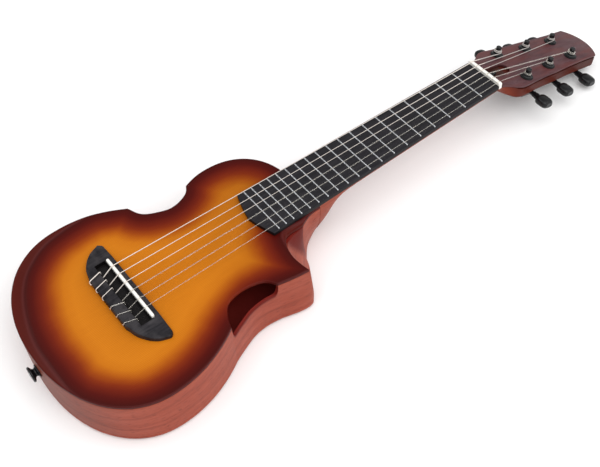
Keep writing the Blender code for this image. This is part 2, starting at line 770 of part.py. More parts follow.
def head_ring(s):
    """A section of the head, square to its tilted face, squarer away from the nut."""
    tilt = HEAD_TILT
    blend = float(np.clip(s / HEAD_SQUARE_FROM, 0.0, 1.0))
    power = NECK_POWER + (HEAD_SQUARE - NECK_POWER) * blend**1.5
    under = HEAD_THICKNESS - HEAD_PLATE_THICKNESS - GAP
    depth = NECK_DEPTH_AT_NUT + (under - NECK_DEPTH_AT_NUT) * blend
    shape = section(head_half(s)[0], depth, power)
    along, up = Vector((math.cos(tilt), 0, -math.sin(tilt))), Vector((math.sin(tilt), 0, math.cos(tilt)))
    return [tuple(HEAD_PIVOT + along * s + Vector((0, y, 0)) + up * h) for y, h in shape]


def head_matrix():
    """The head's face: X along it to the end, Y to the bass side, Z out of it."""
    turn = Matrix.Rotation(HEAD_TILT, 4, "Y")
    lift = Matrix.Translation((0.0, 0.0, HEAD_PLATE_THICKNESS + GAP))
    return Matrix.Translation(HEAD_PIVOT) @ turn @ lift


def tuner_places():
    return [(s, side * y) for side in (1, -1) for s, y in zip(POST_STATIONS, POST_SPACINGS)]


def recess_cutter(floor, start):
    """The U-shaped pocket behind the nut that the truss rod's nut is reached through."""
    wide = RECESS_WIDTH / 2.0
    begin = SCALE_LENGTH + NUT_THICKNESS + start
    straight = HEAD_PIVOT.x + (RECESS_LENGTH - wide) * math.cos(HEAD_TILT)
    arc = [(straight + wide * math.cos(a), wide * math.sin(a)) for a in np.radians(np.linspace(-90, 90, 9))]
    loop = [(begin, -wide), *arc, (begin, wide)]
    return cutter(*loft([[(x, y, z) for x, y in loop] for z in (floor, FRET_TOP)]))


def build_neck():
    ends = [JOINT_X + GAP]
    ends += [JOINT_X + HEEL_LENGTH * share for share in (0.07, 0.15, 0.22, 0.29, 0.36, 0.44, 0.55, 0.70, 0.9)]
    ends += [JOINT_X + (SCALE_LENGTH - JOINT_X) * share for share in (0.42, 0.64, 0.86)]
    ends += [SCALE_LENGTH - 0.002, SCALE_LENGTH + NUT_THICKNESS * 0.7]
    rings = [neck_ring(x) for x in ends] + [head_ring(s) for s in head_stations(0.002)]
    neck = add_mesh("neck", *loft(rings), "stained_mahogany", smooth=32)
    wide = TRUSS_ROD_DIAMETER / 2.0 + GAP
    low = (JOINT_X + TRUSS_ROD_START - 0.002, -wide, ROD_AXIS_Z - wide)
    high = (HEAD_PIVOT.x + TRUSS_ROD_REACH - 0.005, wide, BODY_DEPTH + NUT_HEIGHT)
    cut(neck, cutter(*box_points(low, high)))
    cut(neck, recess_cutter(ROD_AXIS_Z - wide - 0.0008, 0.0004))
    for s, y in tuner_places():
        cut(neck, tuner_hole(s, y))
    return neck


def tuner_hole(s, y):
    radius, reach = BARREL_RADIUS + GAP, HEAD_THICKNESS + 0.004
    hole = cutter(*turned([(radius, -reach), (radius, 0.004)], 16))
    hole.matrix_world = head_matrix() @ Matrix.Translation((s, y, 0.0))
    return hole


def build_head_plate():
    stations = head_stations(GAP)
    half = head_half(stations)
    loop = [(s, y) for s, y in zip(stations, half)] + [(s, -y) for s, y in zip(stations[::-1], half[::-1])]
    rings = [[(s, y, z) for s, y in loop] for z in (-HEAD_PLATE_THICKNESS, 0.0)]
    plate = add_mesh("head_plate", *loft(rings), "head_face")
    plate.matrix_world = head_matrix()
    cut(plate, recess_cutter(ROD_AXIS_Z - 0.010, -0.004))
    for s, y in tuner_places():
        cut(plate, tuner_hole(s, y))
    return plate


# Tuning machines

TUNER_SIDES = 14
BORE_FLOOR = -(HEAD_THICKNESS + GAP + HOUSING_HEIGHT - 0.0030)
HOUSING_TOP = -(HEAD_THICKNESS + GAP)


def housing_ring(side, z, shrink):
    """The housing's rounded outline as seen from the post, at equal angles about it."""
    high = (HOUSING_BACK - shrink, HOUSING_WIDTH / 2.0 - shrink)
    low = (-HOUSING_FRONT + shrink, -HOUSING_WIDTH / 2.0 + shrink)
    centre = ((high[0] + low[0]) / 2.0, 0.0)
    reach = ((high[0] - low[0]) / 2.0, high[1])
    points = []
    for k in range(TUNER_SIDES):
        angle = 2.0 * math.pi * k / TUNER_SIDES
        c, s = math.cos(angle), math.sin(angle)
        x = centre[0] + reach[0] * math.copysign(abs(c) ** 0.42, c)
        y = centre[1] + reach[1] * math.copysign(abs(s) ** 0.42, s)
        points.append((x, side * y, z))
    return points


def round_ring(side, z, radius):
    angles = [2.0 * math.pi * k / TUNER_SIDES for k in range(TUNER_SIDES)]
    return [(radius * math.cos(a), side * radius * math.sin(a), z) for a in angles]


def build_housing(name, holder, side):
    """One sealed case with the threaded barrel that rises through the head to its collar."""
    bottom = HOUSING_TOP - HOUSING_HEIGHT
    bore = POST_RADIUS + GAP
    rings = [
        housing_ring(side, bottom, 0.0020),
        housing_ring(side, bottom + 0.0015, 0.0003),
        housing_ring(side, HOUSING_TOP - 0.0005, 0.0),
        housing_ring(side, HOUSING_TOP, 0.0006),
        round_ring(side, HOUSING_TOP, BARREL_RADIUS),
        round_ring(side, GAP, BARREL_RADIUS),
        round_ring(side, GAP, WASHER_RADIUS),
        round_ring(side, GAP + WASHER_HEIGHT, WASHER_RADIUS - 0.0002),
        round_ring(side, GAP + WASHER_HEIGHT, COLLAR_RADIUS),
        round_ring(side, SEAT_HEIGHT, COLLAR_RADIUS - 0.0008),
        round_ring(side, SEAT_HEIGHT, bore),
        round_ring(side, BORE_FLOOR, bore),
    ]
    case = add_mesh(name, *loft(rings), "black_metal", smooth=35, parent=holder)
    reach = 0.0060
    bore_tool = cutter(*turned([(SHAFT_RADIUS + GAP, -reach), (SHAFT_RADIUS + GAP, reach)], 12), holder)
    mouth = HOUSING_WIDTH / 2.0
    bore_tool.matrix_local = Matrix.Translation((WORM_OFFSET, side * mouth, -WORM_DEPTH)) @ Matrix.Rotation(
        math.pi / 2.0, 4, "X"
    )
    cut(case, bore_tool)
    return case


def build_post(name, holder):
    """A stem with a waist for the string and a hole across it under its domed top."""
    waist = POST_RADIUS - 0.0002
    profile = [
        (POST_RADIUS - 0.0004, BORE_FLOOR + GAP),
        (POST_RADIUS, BORE_FLOOR + 0.0010),
        (POST_RADIUS, SEAT_HEIGHT + 0.0002),
        (waist, SEAT_HEIGHT + 0.0007),
        (waist, POST_HEIGHT - 0.0018),
        (POST_RADIUS, POST_HEIGHT - 0.0012),
        (POST_RADIUS * 0.8, POST_HEIGHT - 0.0002),
        (POST_RADIUS * 0.3, POST_HEIGHT),
    ]
    return add_mesh(name, *turned(profile, 12), "black_metal", smooth=35, parent=holder)


def build_button(name, holder, side, knob_centre, post_y):
    """The worm's shaft with its ring, and the flattened oval knob on its end."""
    inner = HOUSING_WIDTH / 2.0 - 0.0050
    knob = knob_centre - KNOB_LENGTH / 2.0 - post_y
    wide, thick = KNOB_WIDTH / 2.0, KNOB_THICKNESS / 2.0
    stations = [
        (inner, SHAFT_RADIUS, SHAFT_RADIUS),
        (knob - 0.0024, SHAFT_RADIUS, SHAFT_RADIUS),
        (knob - 0.0022, 0.0036, 0.0036),
        (knob - 0.0008, 0.0036, 0.0036),
        (knob - 0.0006, 0.0030, 0.0030),
        (knob + 0.0002, 0.0034, 0.0032),
        (knob + 0.12 * KNOB_LENGTH, wide * 0.74, thick * 0.82),
        (knob + 0.34 * KNOB_LENGTH, wide * 0.97, thick),
        (knob + 0.60 * KNOB_LENGTH, wide, thick),
        (knob + 0.84 * KNOB_LENGTH, wide * 0.86, thick * 0.86),
        (knob + 0.96 * KNOB_LENGTH, wide * 0.62, thick * 0.62),
        (knob + KNOB_LENGTH, wide * 0.34, thick * 0.36),
    ]
    rings = []
    for y, a, b in stations:
        angles = [2.0 * math.pi * k / 12 for k in range(12)]
        rings.append([(a * math.cos(t), side * y, b * math.sin(t)) for t in angles])
    return add_mesh(name, *loft(rings), "black_plastic", smooth=40, parent=holder)


def build_tuners():
    names = {1: "bass", -1: "treble"}
    for side in (1, -1):
        for k, (s, y) in enumerate(zip(POST_STATIONS, POST_SPACINGS)):
            label = f"{names[side]}_{k + 1}"
            base = head_matrix() @ Matrix.Translation((s, side * y, 0.0))
            post_axis = empty(f"post_axis_{label}", base)
            worm = base @ Matrix.Translation((WORM_OFFSET, 0.0, -WORM_DEPTH))
            worm_axis = empty(f"worm_axis_{label}", worm)
            build_housing(f"tuner_housing_{label}", post_axis, side)
            build_post(f"tuner_post_{label}", post_axis)
            build_button(f"tuner_button_{label}", worm_axis, side, KNOB_CENTRES[k], y)


# Bridge and saddle

# The rear edge of each wing: share of the half length, and share of the width cut away
WING_SHAPE = (
    (0.50, 0.0),
    (0.55, 0.04),
    (0.62, 0.07),
    (0.70, 0.13),
    (0.79, 0.24),
    (0.88, 0.39),
    (0.95, 0.58),
    (1.0, 0.84),
)


def build_bridge():
    half = BRIDGE_LENGTH / 2.0
    base = BODY_DEPTH + GAP
    shares = [1.0, 0.975, 0.94, 0.88, 0.79, 0.70, 0.64, 0.60, 0.55, 0.50]
    shares = [-s for s in shares] + shares[::-1]
    rings = []
    for share in shares:
        away = curve_through(WING_SHAPE, abs(share))[0, 0] * BRIDGE_WIDTH
        rear = BRIDGE_REAR + away
        blunt = max(0.0, abs(share) - 0.93) / 0.07
        front = BRIDGE_FRONT - 0.0032 * blunt**2
        slope = np.clip((abs(share) - 0.66) / 0.34, 0.0, 1.0)
        top = BRIDGE_TOP - (BRIDGE_HEIGHT - WING_TIP_HEIGHT) * slope**0.8
        round_off = min(BRIDGE_EDGE, (front - rear) / 3.0)
        y = share * half
        profile = [
            (front, base),
            (front, top - round_off),
            (front - round_off, top),
            (rear + round_off, top),
            (rear, top - round_off),
            (rear, base),
        ]
        rings.append([(x, y, z) for x, z in profile])
    bridge = add_mesh("bridge", *loft(rings), "dark_board", smooth=30)
    wide = SADDLE_THICKNESS / 2.0 + GAP
    reach = SADDLE_LENGTH / 2.0 + GAP
    floor = BRIDGE_TOP - SADDLE_SET_IN - GAP
    rear, front = -SADDLE_SETBACK - wide, -SADDLE_SETBACK + wide
    cut(bridge, cutter(*box_points((rear, -reach, floor), (front, reach, BRIDGE_TOP + 0.01))))
    side = SADDLE_LENGTH / 2.0 + 0.001
    low = (BLOCK_FRONT, -side, BODY_DEPTH + CHANNEL_FLOOR)
    cut(bridge, cutter(*box_points(low, (rear - SADDLE_WALL, side, BRIDGE_TOP + 0.01))))
    for number in range(1, 7):
        hole = cutter(*turned([(TIE_HOLE_RADIUS, -0.002), (TIE_HOLE_RADIUS, TIE_BLOCK_WIDTH + 0.002)], 8))
        spot = (BRIDGE_REAR, tie_hole_y(number), TIE_HOLE_Z)
        hole.matrix_world = Matrix.Translation(spot) @ Matrix.Rotation(math.pi / 2.0, 4, "Y")
        cut(bridge, hole)
    return bridge


def tie_hole_y(number):
    return string_share(number) * SPREAD_AT_SADDLE * 0.96


def build_saddle():
    """A bone strip with round ends and a rounded crown."""
    wide, reach = SADDLE_THICKNESS / 2.0, SADDLE_LENGTH / 2.0
    rings = []
    heights = (BRIDGE_TOP - SADDLE_SET_IN, SADDLE_TOP - 0.0008, SADDLE_TOP - 0.0002, SADDLE_TOP)
    for z, shrink in zip(heights, (0.0, 0.0, 0.0005, 0.0011)):
        radius = wide - shrink
        ring = []
        for end in (1, -1):
            centre = end * (reach - wide)
            for angle in np.radians((0, 45, 90, 135, 180) if end > 0 else (180, 225, 270, 315, 360)):
                x = radius * math.cos(angle) - SADDLE_SETBACK
                ring.append((x, centre + radius * math.sin(angle), z))
        rings.append(ring)
    return add_mesh("saddle", *loft(rings), "bone", smooth=40)


# Strings


def face_point(s, y, h):
    return head_matrix() @ Vector((s, y, h))


def winding(number, radius):
    """The turns round a post, climbing from the collar, as points on the head's face."""
    index, side = (number - 1, -1) if number <= 3 else (6 - number, 1)
    station, spacing = POST_STATIONS[index], side * POST_SPACINGS[index]
    coil = POST_RADIUS + GAP + radius
    slot = (0.0, string_share(number) * SPREAD_AT_NUT)
    run = Vector((station - slot[0], spacing - side * coil - slot[1])).normalized()
    begin = math.atan2(-side * run.x, side * run.y)
    low = SEAT_HEIGHT + GAP + radius
    pitch = 2.0 * radius + WINDING_AIR
    points = []
    for k in range(int(WINDING_TURNS * LOOP_POINTS) + 1):
        turn = k / LOOP_POINTS
        angle = begin + side * turn * 2.0 * math.pi
        spot = (station + coil * math.cos(angle), spacing + coil * math.sin(angle), low + pitch * turn)
        points.append(face_point(*spot))
    return points


def string_route(number):
    """From its tied end at the bridge, over the saddle and the nut, to its winding."""
    radius = STRING_DIAMETERS[number - 1] / 2.0
    y = string_share(number) * SPREAD_AT_SADDLE
    hole_y = tie_hole_y(number)
    off = GAP + radius + 0.0001
    back_y, loop_y = (hole_y + shift for shift in (BASS_LOOP if number > 3 else TREBLE_LOOP))
    tuck = (BLOCK_FRONT + off, loop_y, TIE_HOLE_Z + 0.0004)
    tie = [tuck, (BLOCK_FRONT + off, loop_y, BRIDGE_TOP - 0.0016)]
    for angle in np.radians((0, 30, 60, 90)):
        x, z = BLOCK_FRONT + off * math.cos(angle), BRIDGE_TOP + off * math.sin(angle)
        tie.append((x, loop_y - 0.0002 * angle, z))
    edge = BRIDGE_EDGE + off
    for angle in np.radians((90, 115, 140, 165, 180)):
        x = BRIDGE_REAR + BRIDGE_EDGE + edge * math.cos(angle)
        z = BRIDGE_TOP - BRIDGE_EDGE + edge * math.sin(angle)
        tie.append((x, back_y - 0.0003 * angle, z))
    bend = (BRIDGE_REAR - off, hole_y + 0.0001, TIE_HOLE_Z + 0.0006)
    tie += [bend, (BRIDGE_REAR - off + 0.0005, hole_y, TIE_HOLE_Z + 0.0001)]
    tie += [(BRIDGE_REAR + 0.0004, hole_y, TIE_HOLE_Z), (BLOCK_FRONT - 0.0002, hole_y, TIE_HOLE_Z)]
    crown = SADDLE_TOP + GAP + radius
    rear = -SADDLE_SETBACK - SADDLE_THICKNESS / 2.0
    rise = [
        (BLOCK_FRONT + 0.0006, hole_y + (y - hole_y) * 0.05, TIE_HOLE_Z + 0.0002),
        (rear - 0.0009, y, crown - 0.0010),
        (rear + 0.0009, y, crown),
        (rear + 0.0023, y, crown),
    ]
    end = string_share(number) * SPREAD_AT_NUT
    over_nut = nut_slot() + GAP + radius
    nut = [
        (SCALE_LENGTH - 0.0008, end, over_nut),
        (SCALE_LENGTH + NUT_THICKNESS * 0.7, end, over_nut - 0.0001),
        (SCALE_LENGTH + NUT_THICKNESS + 0.0010, end, over_nut - 0.0006),
    ]
    return tie + rise + nut + [tuple(p) for p in winding(number, radius)], radius


def least_gap(points, radius):
    """The air between the parts of a tube that lie more than four diameters apart along it."""
    points = np.array(points)
    steps = np.linalg.norm(np.diff(points, axis=0), axis=1)
    place = np.concatenate([[0.0], np.cumsum(steps)])
    fine = np.arange(0.0, place[-1], radius)
    dense = np.column_stack([np.interp(fine, place, points[:, k]) for k in range(3)])
    least = 1.0
    for k in range(0, len(dense), 2):
        far = dense[np.abs(fine - fine[k]) > 8.0 * radius]
        least = min(least, float(np.min(np.linalg.norm(far - dense[k], axis=1))))
    return least - 2.0 * radius


def build_strings():
    for number in range(1, 7):
        points, radius = string_route(number)
        curve = bpy.data.curves.new(f"string_{number}", "CURVE")
        curve.dimensions = "3D"
        curve.bevel_depth = radius
        curve.bevel_resolution = 1
        curve.use_fill_caps = True
        spline = curve.splines.new("POLY")
        spline.points.add(len(points) - 1)
        for point, place in zip(spline.points, points):
            point.co = (*place, 1.0)
        curve.materials.append(finish("nylon_string" if number <= 3 else "wound_string"))
        thing = bpy.data.objects.new(f"string_{number}", curve)
        bpy.context.scene.collection.objects.link(thing)
        print(f"string_{number}: least gap to itself {least_gap(points, radius) * 1000:.2f} mm")


# Strap button


def build_strap_button():
    """A turned button on the tail, held by one countersunk screw."""
    spot = Matrix.Translation((TAIL_X - GAP, 0.0, STRAP_Z)) @ Matrix.Rotation(-math.pi / 2.0, 4, "Y")
    bore = SCREW_RADIUS + GAP
    sink = 0.0034
    profile = [
        (bore, 0.0),
        (STRAP_FLANGE_RADIUS, 0.0),
        (STRAP_FLANGE_RADIUS, 0.0010),
        (STRAP_STEM_RADIUS, 0.0025),
        (STRAP_STEM_RADIUS, STRAP_HEIGHT - 0.0040),
        (STRAP_CAP_RADIUS, STRAP_HEIGHT - 0.0022),
        (STRAP_CAP_RADIUS, STRAP_HEIGHT - 0.0008),
        (STRAP_CAP_RADIUS - 0.0008, STRAP_HEIGHT),
        (sink + GAP, STRAP_HEIGHT),
        (bore, STRAP_HEIGHT - 0.0022),
    ]
    points, faces = loft([list(r) for r in rings_of(profile, 16)], caps=False, closed=True)
    button = add_mesh("strap_button", points, faces, "black_plastic", smooth=35)
    button.matrix_world = spot
    head = [
        (SCREW_RADIUS * 0.4, STRAP_HEIGHT - SCREW_LENGTH),
        (SCREW_RADIUS, STRAP_HEIGHT - SCREW_LENGTH + 0.004),
        (SCREW_RADIUS, STRAP_HEIGHT - 0.0021),
        (sink, STRAP_HEIGHT - 0.0002),
        (sink * 0.35, STRAP_HEIGHT - 0.0002),
        (sink * 0.35, STRAP_HEIGHT - 0.0014),
    ]
    screw = add_mesh("strap_screw", *turned(head, 12), "steel", smooth=35)
    screw.matrix_world = spot


def rings_of(profile, sides):
    angles = [2.0 * math.pi * k / sides for k in range(sides)]
    return [[(r * math.cos(a), r * math.sin(a), z) for a in angles] for r, z in profile]


def main():
    clear_scene()
    build_soundboard()
    build_sides()
    build_back()
    build_inside()
    build_neck()
    build_head_plate()
    build_truss_rod()
    build_fretboard()
    build_frets()
    build_nut()
    build_bridge()
    build_saddle()
    build_tuners()
    build_strings()
    build_strap_button()


main()
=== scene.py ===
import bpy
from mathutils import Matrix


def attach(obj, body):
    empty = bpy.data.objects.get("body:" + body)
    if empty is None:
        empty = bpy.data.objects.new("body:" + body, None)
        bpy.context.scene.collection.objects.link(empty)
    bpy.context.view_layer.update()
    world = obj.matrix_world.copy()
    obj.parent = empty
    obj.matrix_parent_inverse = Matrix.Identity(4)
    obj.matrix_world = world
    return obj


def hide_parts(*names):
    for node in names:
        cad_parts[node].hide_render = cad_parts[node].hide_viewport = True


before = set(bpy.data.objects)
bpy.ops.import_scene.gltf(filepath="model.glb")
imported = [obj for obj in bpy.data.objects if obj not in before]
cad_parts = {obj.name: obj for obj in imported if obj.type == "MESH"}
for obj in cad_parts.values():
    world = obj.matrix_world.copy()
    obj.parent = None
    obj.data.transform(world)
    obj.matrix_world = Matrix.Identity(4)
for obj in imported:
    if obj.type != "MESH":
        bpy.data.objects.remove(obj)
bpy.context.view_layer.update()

import math

import bmesh
import bpy
import numpy as np
from mathutils import Matrix, Vector

print("stage: frame loaded,", len(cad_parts), "nodes")

# The instrument lies on its back: +X tail to head, +Y the bass side, metres.
air = 0.0003  # the gap left between separate pieces


# Curves and outlines
def curveThrough(knots, at):
    # cubic Hermite pieces through (place, value, ...) knots, with slopes from neighbouring knots
    table = np.array(knots, float)
    place, value = table[:, 0], table[:, 1:]
    slope = np.gradient(value, place, axis=0)
    at = np.clip(np.atleast_1d(np.asarray(at, float)), place[0], place[-1])
    k = np.clip(np.searchsorted(place, at, side="right") - 1, 0, len(place) - 2)
    width = (place[k + 1] - place[k])[:, None]
    t = (at - place[k])[:, None] / width
    rest = (1 - t) ** 2 * (1 + 2 * t) * value[k] + t**2 * (3 - 2 * t) * value[k + 1]
    return rest + width * (t * (1 - t) ** 2 * slope[k] - t**2 * (1 - t) * slope[k + 1])


def pathThrough(corners, shares):
    # the curve through the corners, read at shares (0 to 1) of its chord length
    corners = np.array(corners, float)
    steps = np.linalg.norm(np.diff(corners, axis=0), axis=1)
    place = np.concatenate([[0.0], np.cumsum(steps)])
    return curveThrough(np.column_stack([place, corners]), np.asarray(shares) * place[-1])


def even(count):
    return np.linspace(0.0, 1.0, count)


def eased(count):
    # closer together near both ends: half of (1 - cos)
    return 0.5 - 0.5 * np.cos(np.linspace(0.0, math.pi, count))


def superArc(centre, reach, power, start, end, count):
    # centre + reach times cos and sin, each raised to 2/power
    angle = np.radians(np.linspace(start, end, count))
    c, s = np.cos(angle), np.sin(angle)
    x = centre[0] + reach[0] * np.sign(c) * np.abs(c) ** (2.0 / power)
    y = centre[1] + reach[1] * np.sign(s) * np.abs(s) ** (2.0 / power)
    return np.column_stack([x, y])


def insetOutline(outline, distance):
    # every point moves in along the mitre of its two edges; points that would pass a sharp corner's
    # mitre line, with a quarter more for a bent edge, stop at the corner's own new place
    before = outline - np.roll(outline, 1, axis=0)
    after = np.roll(outline, -1, axis=0) - outline
    sizes = np.linalg.norm(after, axis=1)
    unitBefore = before / np.linalg.norm(before, axis=1)[:, None]
    unitAfter = after / sizes[:, None]
    normalBefore = np.column_stack([-unitBefore[:, 1], unitBefore[:, 0]])
    normalAfter = np.column_stack([-unitAfter[:, 1], unitAfter[:, 0]])
    facing = np.sum(normalBefore * normalAfter, axis=1)
    distance = np.broadcast_to(np.asarray(distance, float), len(outline))
    moved = outline + (normalBefore + normalAfter) / (1.0 + facing)[:, None] * distance[:, None]
    cross = unitBefore[:, 0] * unitAfter[:, 1] - unitBefore[:, 1] * unitAfter[:, 0]
    turn = np.arctan2(cross, facing)
    place = np.concatenate([[0.0], np.cumsum(sizes)])
    whole = place[-1]
    for corner in np.flatnonzero(turn > 0.3):
        away = np.abs((place[:-1] - place[corner] + whole / 2.0) % whole - whole / 2.0)
        moved[away < distance[corner] * math.tan(turn[corner] / 2.0) * 1.25] = moved[corner]
    return moved


def lifted(outline, z):
    return np.column_stack([outline, np.broadcast_to(z, len(outline))])


# Meshes
def gridMesh(grid, around=True, along=False, caps=True, uv=None):
    # quads join each point of a row to its neighbour and to the next row; caps close the end rows
    rows, count = grid.shape[:2]
    columns = count if around else count - 1
    spans = rows if along else rows - 1
    k, i = (a.ravel() for a in np.meshgrid(np.arange(spans), np.arange(columns), indexing="ij"))
    corners = ((k, i), (k, i + 1), (k + 1, i + 1), (k + 1, i))
    faces = np.stack([(a % rows) * count + b % count for a, b in corners], axis=1)
    faceLists = faces.tolist()
    cornerUv = None
    if uv is not None:
        cornerUv = np.stack([uv[a % rows, b] for a, b in corners], axis=1).reshape(-1, 2)
    if caps:
        ring = np.arange(count)
        faceLists += [ring[::-1].tolist(), (ring + (rows - 1) * count).tolist()]
        if uv is not None:
            cornerUv = np.concatenate([cornerUv, uv[0, ring[::-1]], uv[-1, ring]])
    return grid.reshape(-1, 3), faceLists, cornerUv


def joinMeshes(parts):
    points, faces, start = [], [], 0
    for part in parts:
        points.append(part[0])
        faces += [[v + start for v in face] for face in part[1]]
        start += len(part[0])
    return np.concatenate(points), faces, None


def addObject(name, data):
    made = bpy.data.objects.new(name, data)
    bpy.context.scene.collection.objects.link(made)
    return made


def newMesh(name, points, faces):
    data = bpy.data.meshes.new(name)
    data.from_pydata(points.tolist(), [], faces)
    return data


def mend(data, merge):
    # merges doubles where asked, and turns the faces outwards
    bm = bmesh.new()
    bm.from_mesh(data)
    if merge:
        bmesh.ops.remove_doubles(bm, verts=bm.verts, dist=2e-7)
        bmesh.ops.dissolve_degenerate(bm, edges=bm.edges, dist=1e-7)
    bmesh.ops.recalc_face_normals(bm, faces=bm.faces)
    bm.to_mesh(data)
    bm.free()


def smoothed(data, angle):
    data.shade_smooth()
    data.set_sharp_from_angle(angle=math.radians(angle))


def makePiece(name, mesh, material, replaces, body="instrument", angle=35.0, values=None):
    # one object in place of the CAD nodes it replaces, riding on a body; values are per point
    points, faces, cornerUv = mesh
    data = newMesh(name, points, faces)
    if cornerUv is not None:
        layer = data.uv_layers.new(name="lengths")
        layer.data.foreach_set("uv", cornerUv.astype(np.float32).ravel())
    for key, value in (values or {}).items():
        data.attributes.new(key, "FLOAT", "POINT").data.foreach_set("value", value.astype(np.float32))
    mend(data, True)
    data.materials.append(material)
    smoothed(data, angle)
    piece = addObject(name, data)
    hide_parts(*replaces)
    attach(piece, body)
    return piece


def cutAway(piece, solids, angle):
    # takes the solids out of the piece at once, so no live modifier stays on it
    points, faces, _ = joinMeshes(solids)
    data = newMesh("tool", points, faces)
    mend(data, False)
    tool = addObject("tool", data)
    change = piece.modifiers.new("cut", "BOOLEAN")
    change.operation, change.solver, change.object = "DIFFERENCE", "EXACT", tool
    bpy.context.view_layer.update()
    graph = bpy.context.evaluated_depsgraph_get()
    result = bpy.data.meshes.new_from_object(
        piece.evaluated_get(graph), preserve_all_data_layers=True, depsgraph=graph
    )
    piece.modifiers.clear()
    piece.data = result
    smoothed(result, angle)
    bpy.data.objects.remove(tool)
    return piece


def turnedGrid(profile, sides, place=None):
    # (radius, height) pairs carried round the Z axis, then moved by a 4x4 matrix
    table = np.array(profile, float)
    angle = np.linspace(0.0, 2.0 * math.pi, sides, endpoint=False)
    x = table[:, :1] * np.cos(angle)
    y = table[:, :1] * np.sin(angle)
    z = np.broadcast_to(table[:, 1:2], x.shape)
    return moveGrid(np.stack([x, y, z], axis=-1), place)


def moveGrid(grid, place):
    if place is None:
        return grid
    m = np.array(place)
    return grid @ m[:3, :3].T + m[:3, 3]


def rodMesh(radius, low, high, sides, place):
    # a plain rod along Z, moved; only ever cut out of a piece
    return gridMesh(turnedGrid([(radius, low), (radius, high)], sides, place))


def boxMesh(low, high):
    ring = np.array([(low[0], low[1]), (high[0], low[1]), (high[0], high[1]), (low[0], high[1])])
    return gridMesh(np.stack([lifted(ring, low[2]), lifted(ring, high[2])]))


def roundedPlate(outline, low, high, below, above, steps=5):
    # an outline raised from low to high, its two rims rounded as quarter circles
    rows = []
    for a in np.linspace(0.0, math.pi / 2.0, steps):
        rows.append(lifted(insetOutline(outline, below * (1 - math.sin(a))), low + below * (1 - math.cos(a))))
    for a in np.linspace(0.0, math.pi / 2.0, steps):
        rows.append(lifted(insetOutline(outline, above * (1 - math.cos(a))), high - above * (1 - math.sin(a))))
    return gridMesh(np.stack(rows))


# Finishes
def addNode(tree, kind, sockets=None, **settings):
    made = tree.nodes.new(kind)
    for key, value in settings.items():
        setattr(made, key, value)
    for key, value in (sockets or {}).items():
        if isinstance(value, bpy.types.NodeSocket):
            tree.links.new(value, made.inputs[key])
        else:
            made.inputs[key].default_value = value
    return made


def newFinish(name, colour, roughness, metallic=0.0, specular=0.5):
    made = bpy.data.materials.new(name)
    made.use_nodes = True
    shader = made.node_tree.nodes["Principled BSDF"]
    shader.inputs["Base Color"].default_value = (*colour, 1.0)
    shader.inputs["Roughness"].default_value = roughness
    shader.inputs["Metallic"].default_value = metallic
    shader.inputs["Specular IOR Level"].default_value = specular
    return made, made.node_tree, shader


def coordinates(tree, scale, source="Object"):
    where = addNode(tree, "ShaderNodeTexCoord").outputs[source]
    return addNode(tree, "ShaderNodeMapping", {"Vector": where, "Scale": scale}).outputs[0]


def axisPlaces(tree):
    return addNode(tree, "ShaderNodeSeparateXYZ", {"Vector": coordinates(tree, (1, 1, 1))}).outputs


def noise(tree, vector, detail=3.0, rough=0.55, scale=1.0):
    settings = {"Vector": vector, "Scale": scale, "Detail": detail, "Roughness": rough}
    return addNode(tree, "ShaderNodeTexNoise", settings).outputs["Fac"]


def mathNode(tree, operation, a, b=0.0, c=None):
    sockets = {0: a, 1: b}
    if c is not None:
        sockets[2] = c
    return addNode(tree, "ShaderNodeMath", sockets, operation=operation).outputs[0]


def ramp(tree, value, stops, easing="LINEAR"):
    made = addNode(tree, "ShaderNodeValToRGB", {"Fac": value})
    made.color_ramp.interpolation = easing
    elements = made.color_ramp.elements
    while len(elements) < len(stops):
        elements.new(0.5)
    for element, (place, colour) in zip(elements, stops):
        element.position = place
        element.color = (*colour, 1.0)
    return made.outputs["Color"]


def spread(tree, value, low, high, toLow, toHigh):
    sockets = {"Value": value, "From Min": low, "From Max": high, "To Min": toLow, "To Max": toHigh}
    return addNode(tree, "ShaderNodeMapRange", sockets).outputs[0]


def mixColour(tree, share, first, second, blend="MIX"):
    made = addNode(tree, "ShaderNodeMix", data_type="RGBA", blend_type=blend)
    for socket, value in ((0, share), (6, first), (7, second)):
        if isinstance(value, bpy.types.NodeSocket):
            tree.links.new(value, made.inputs[socket])
        elif socket == 0:
            made.inputs[0].default_value = value
        else:
            made.inputs[socket].default_value = (*value, 1.0)
    return made.outputs[2]


def bump(tree, shader, height, distance, strength=1.0):
    made = addNode(tree, "ShaderNodeBump", {"Height": height, "Distance": distance, "Strength": strength})
    tree.links.new(made.outputs[0], shader.inputs["Normal"])


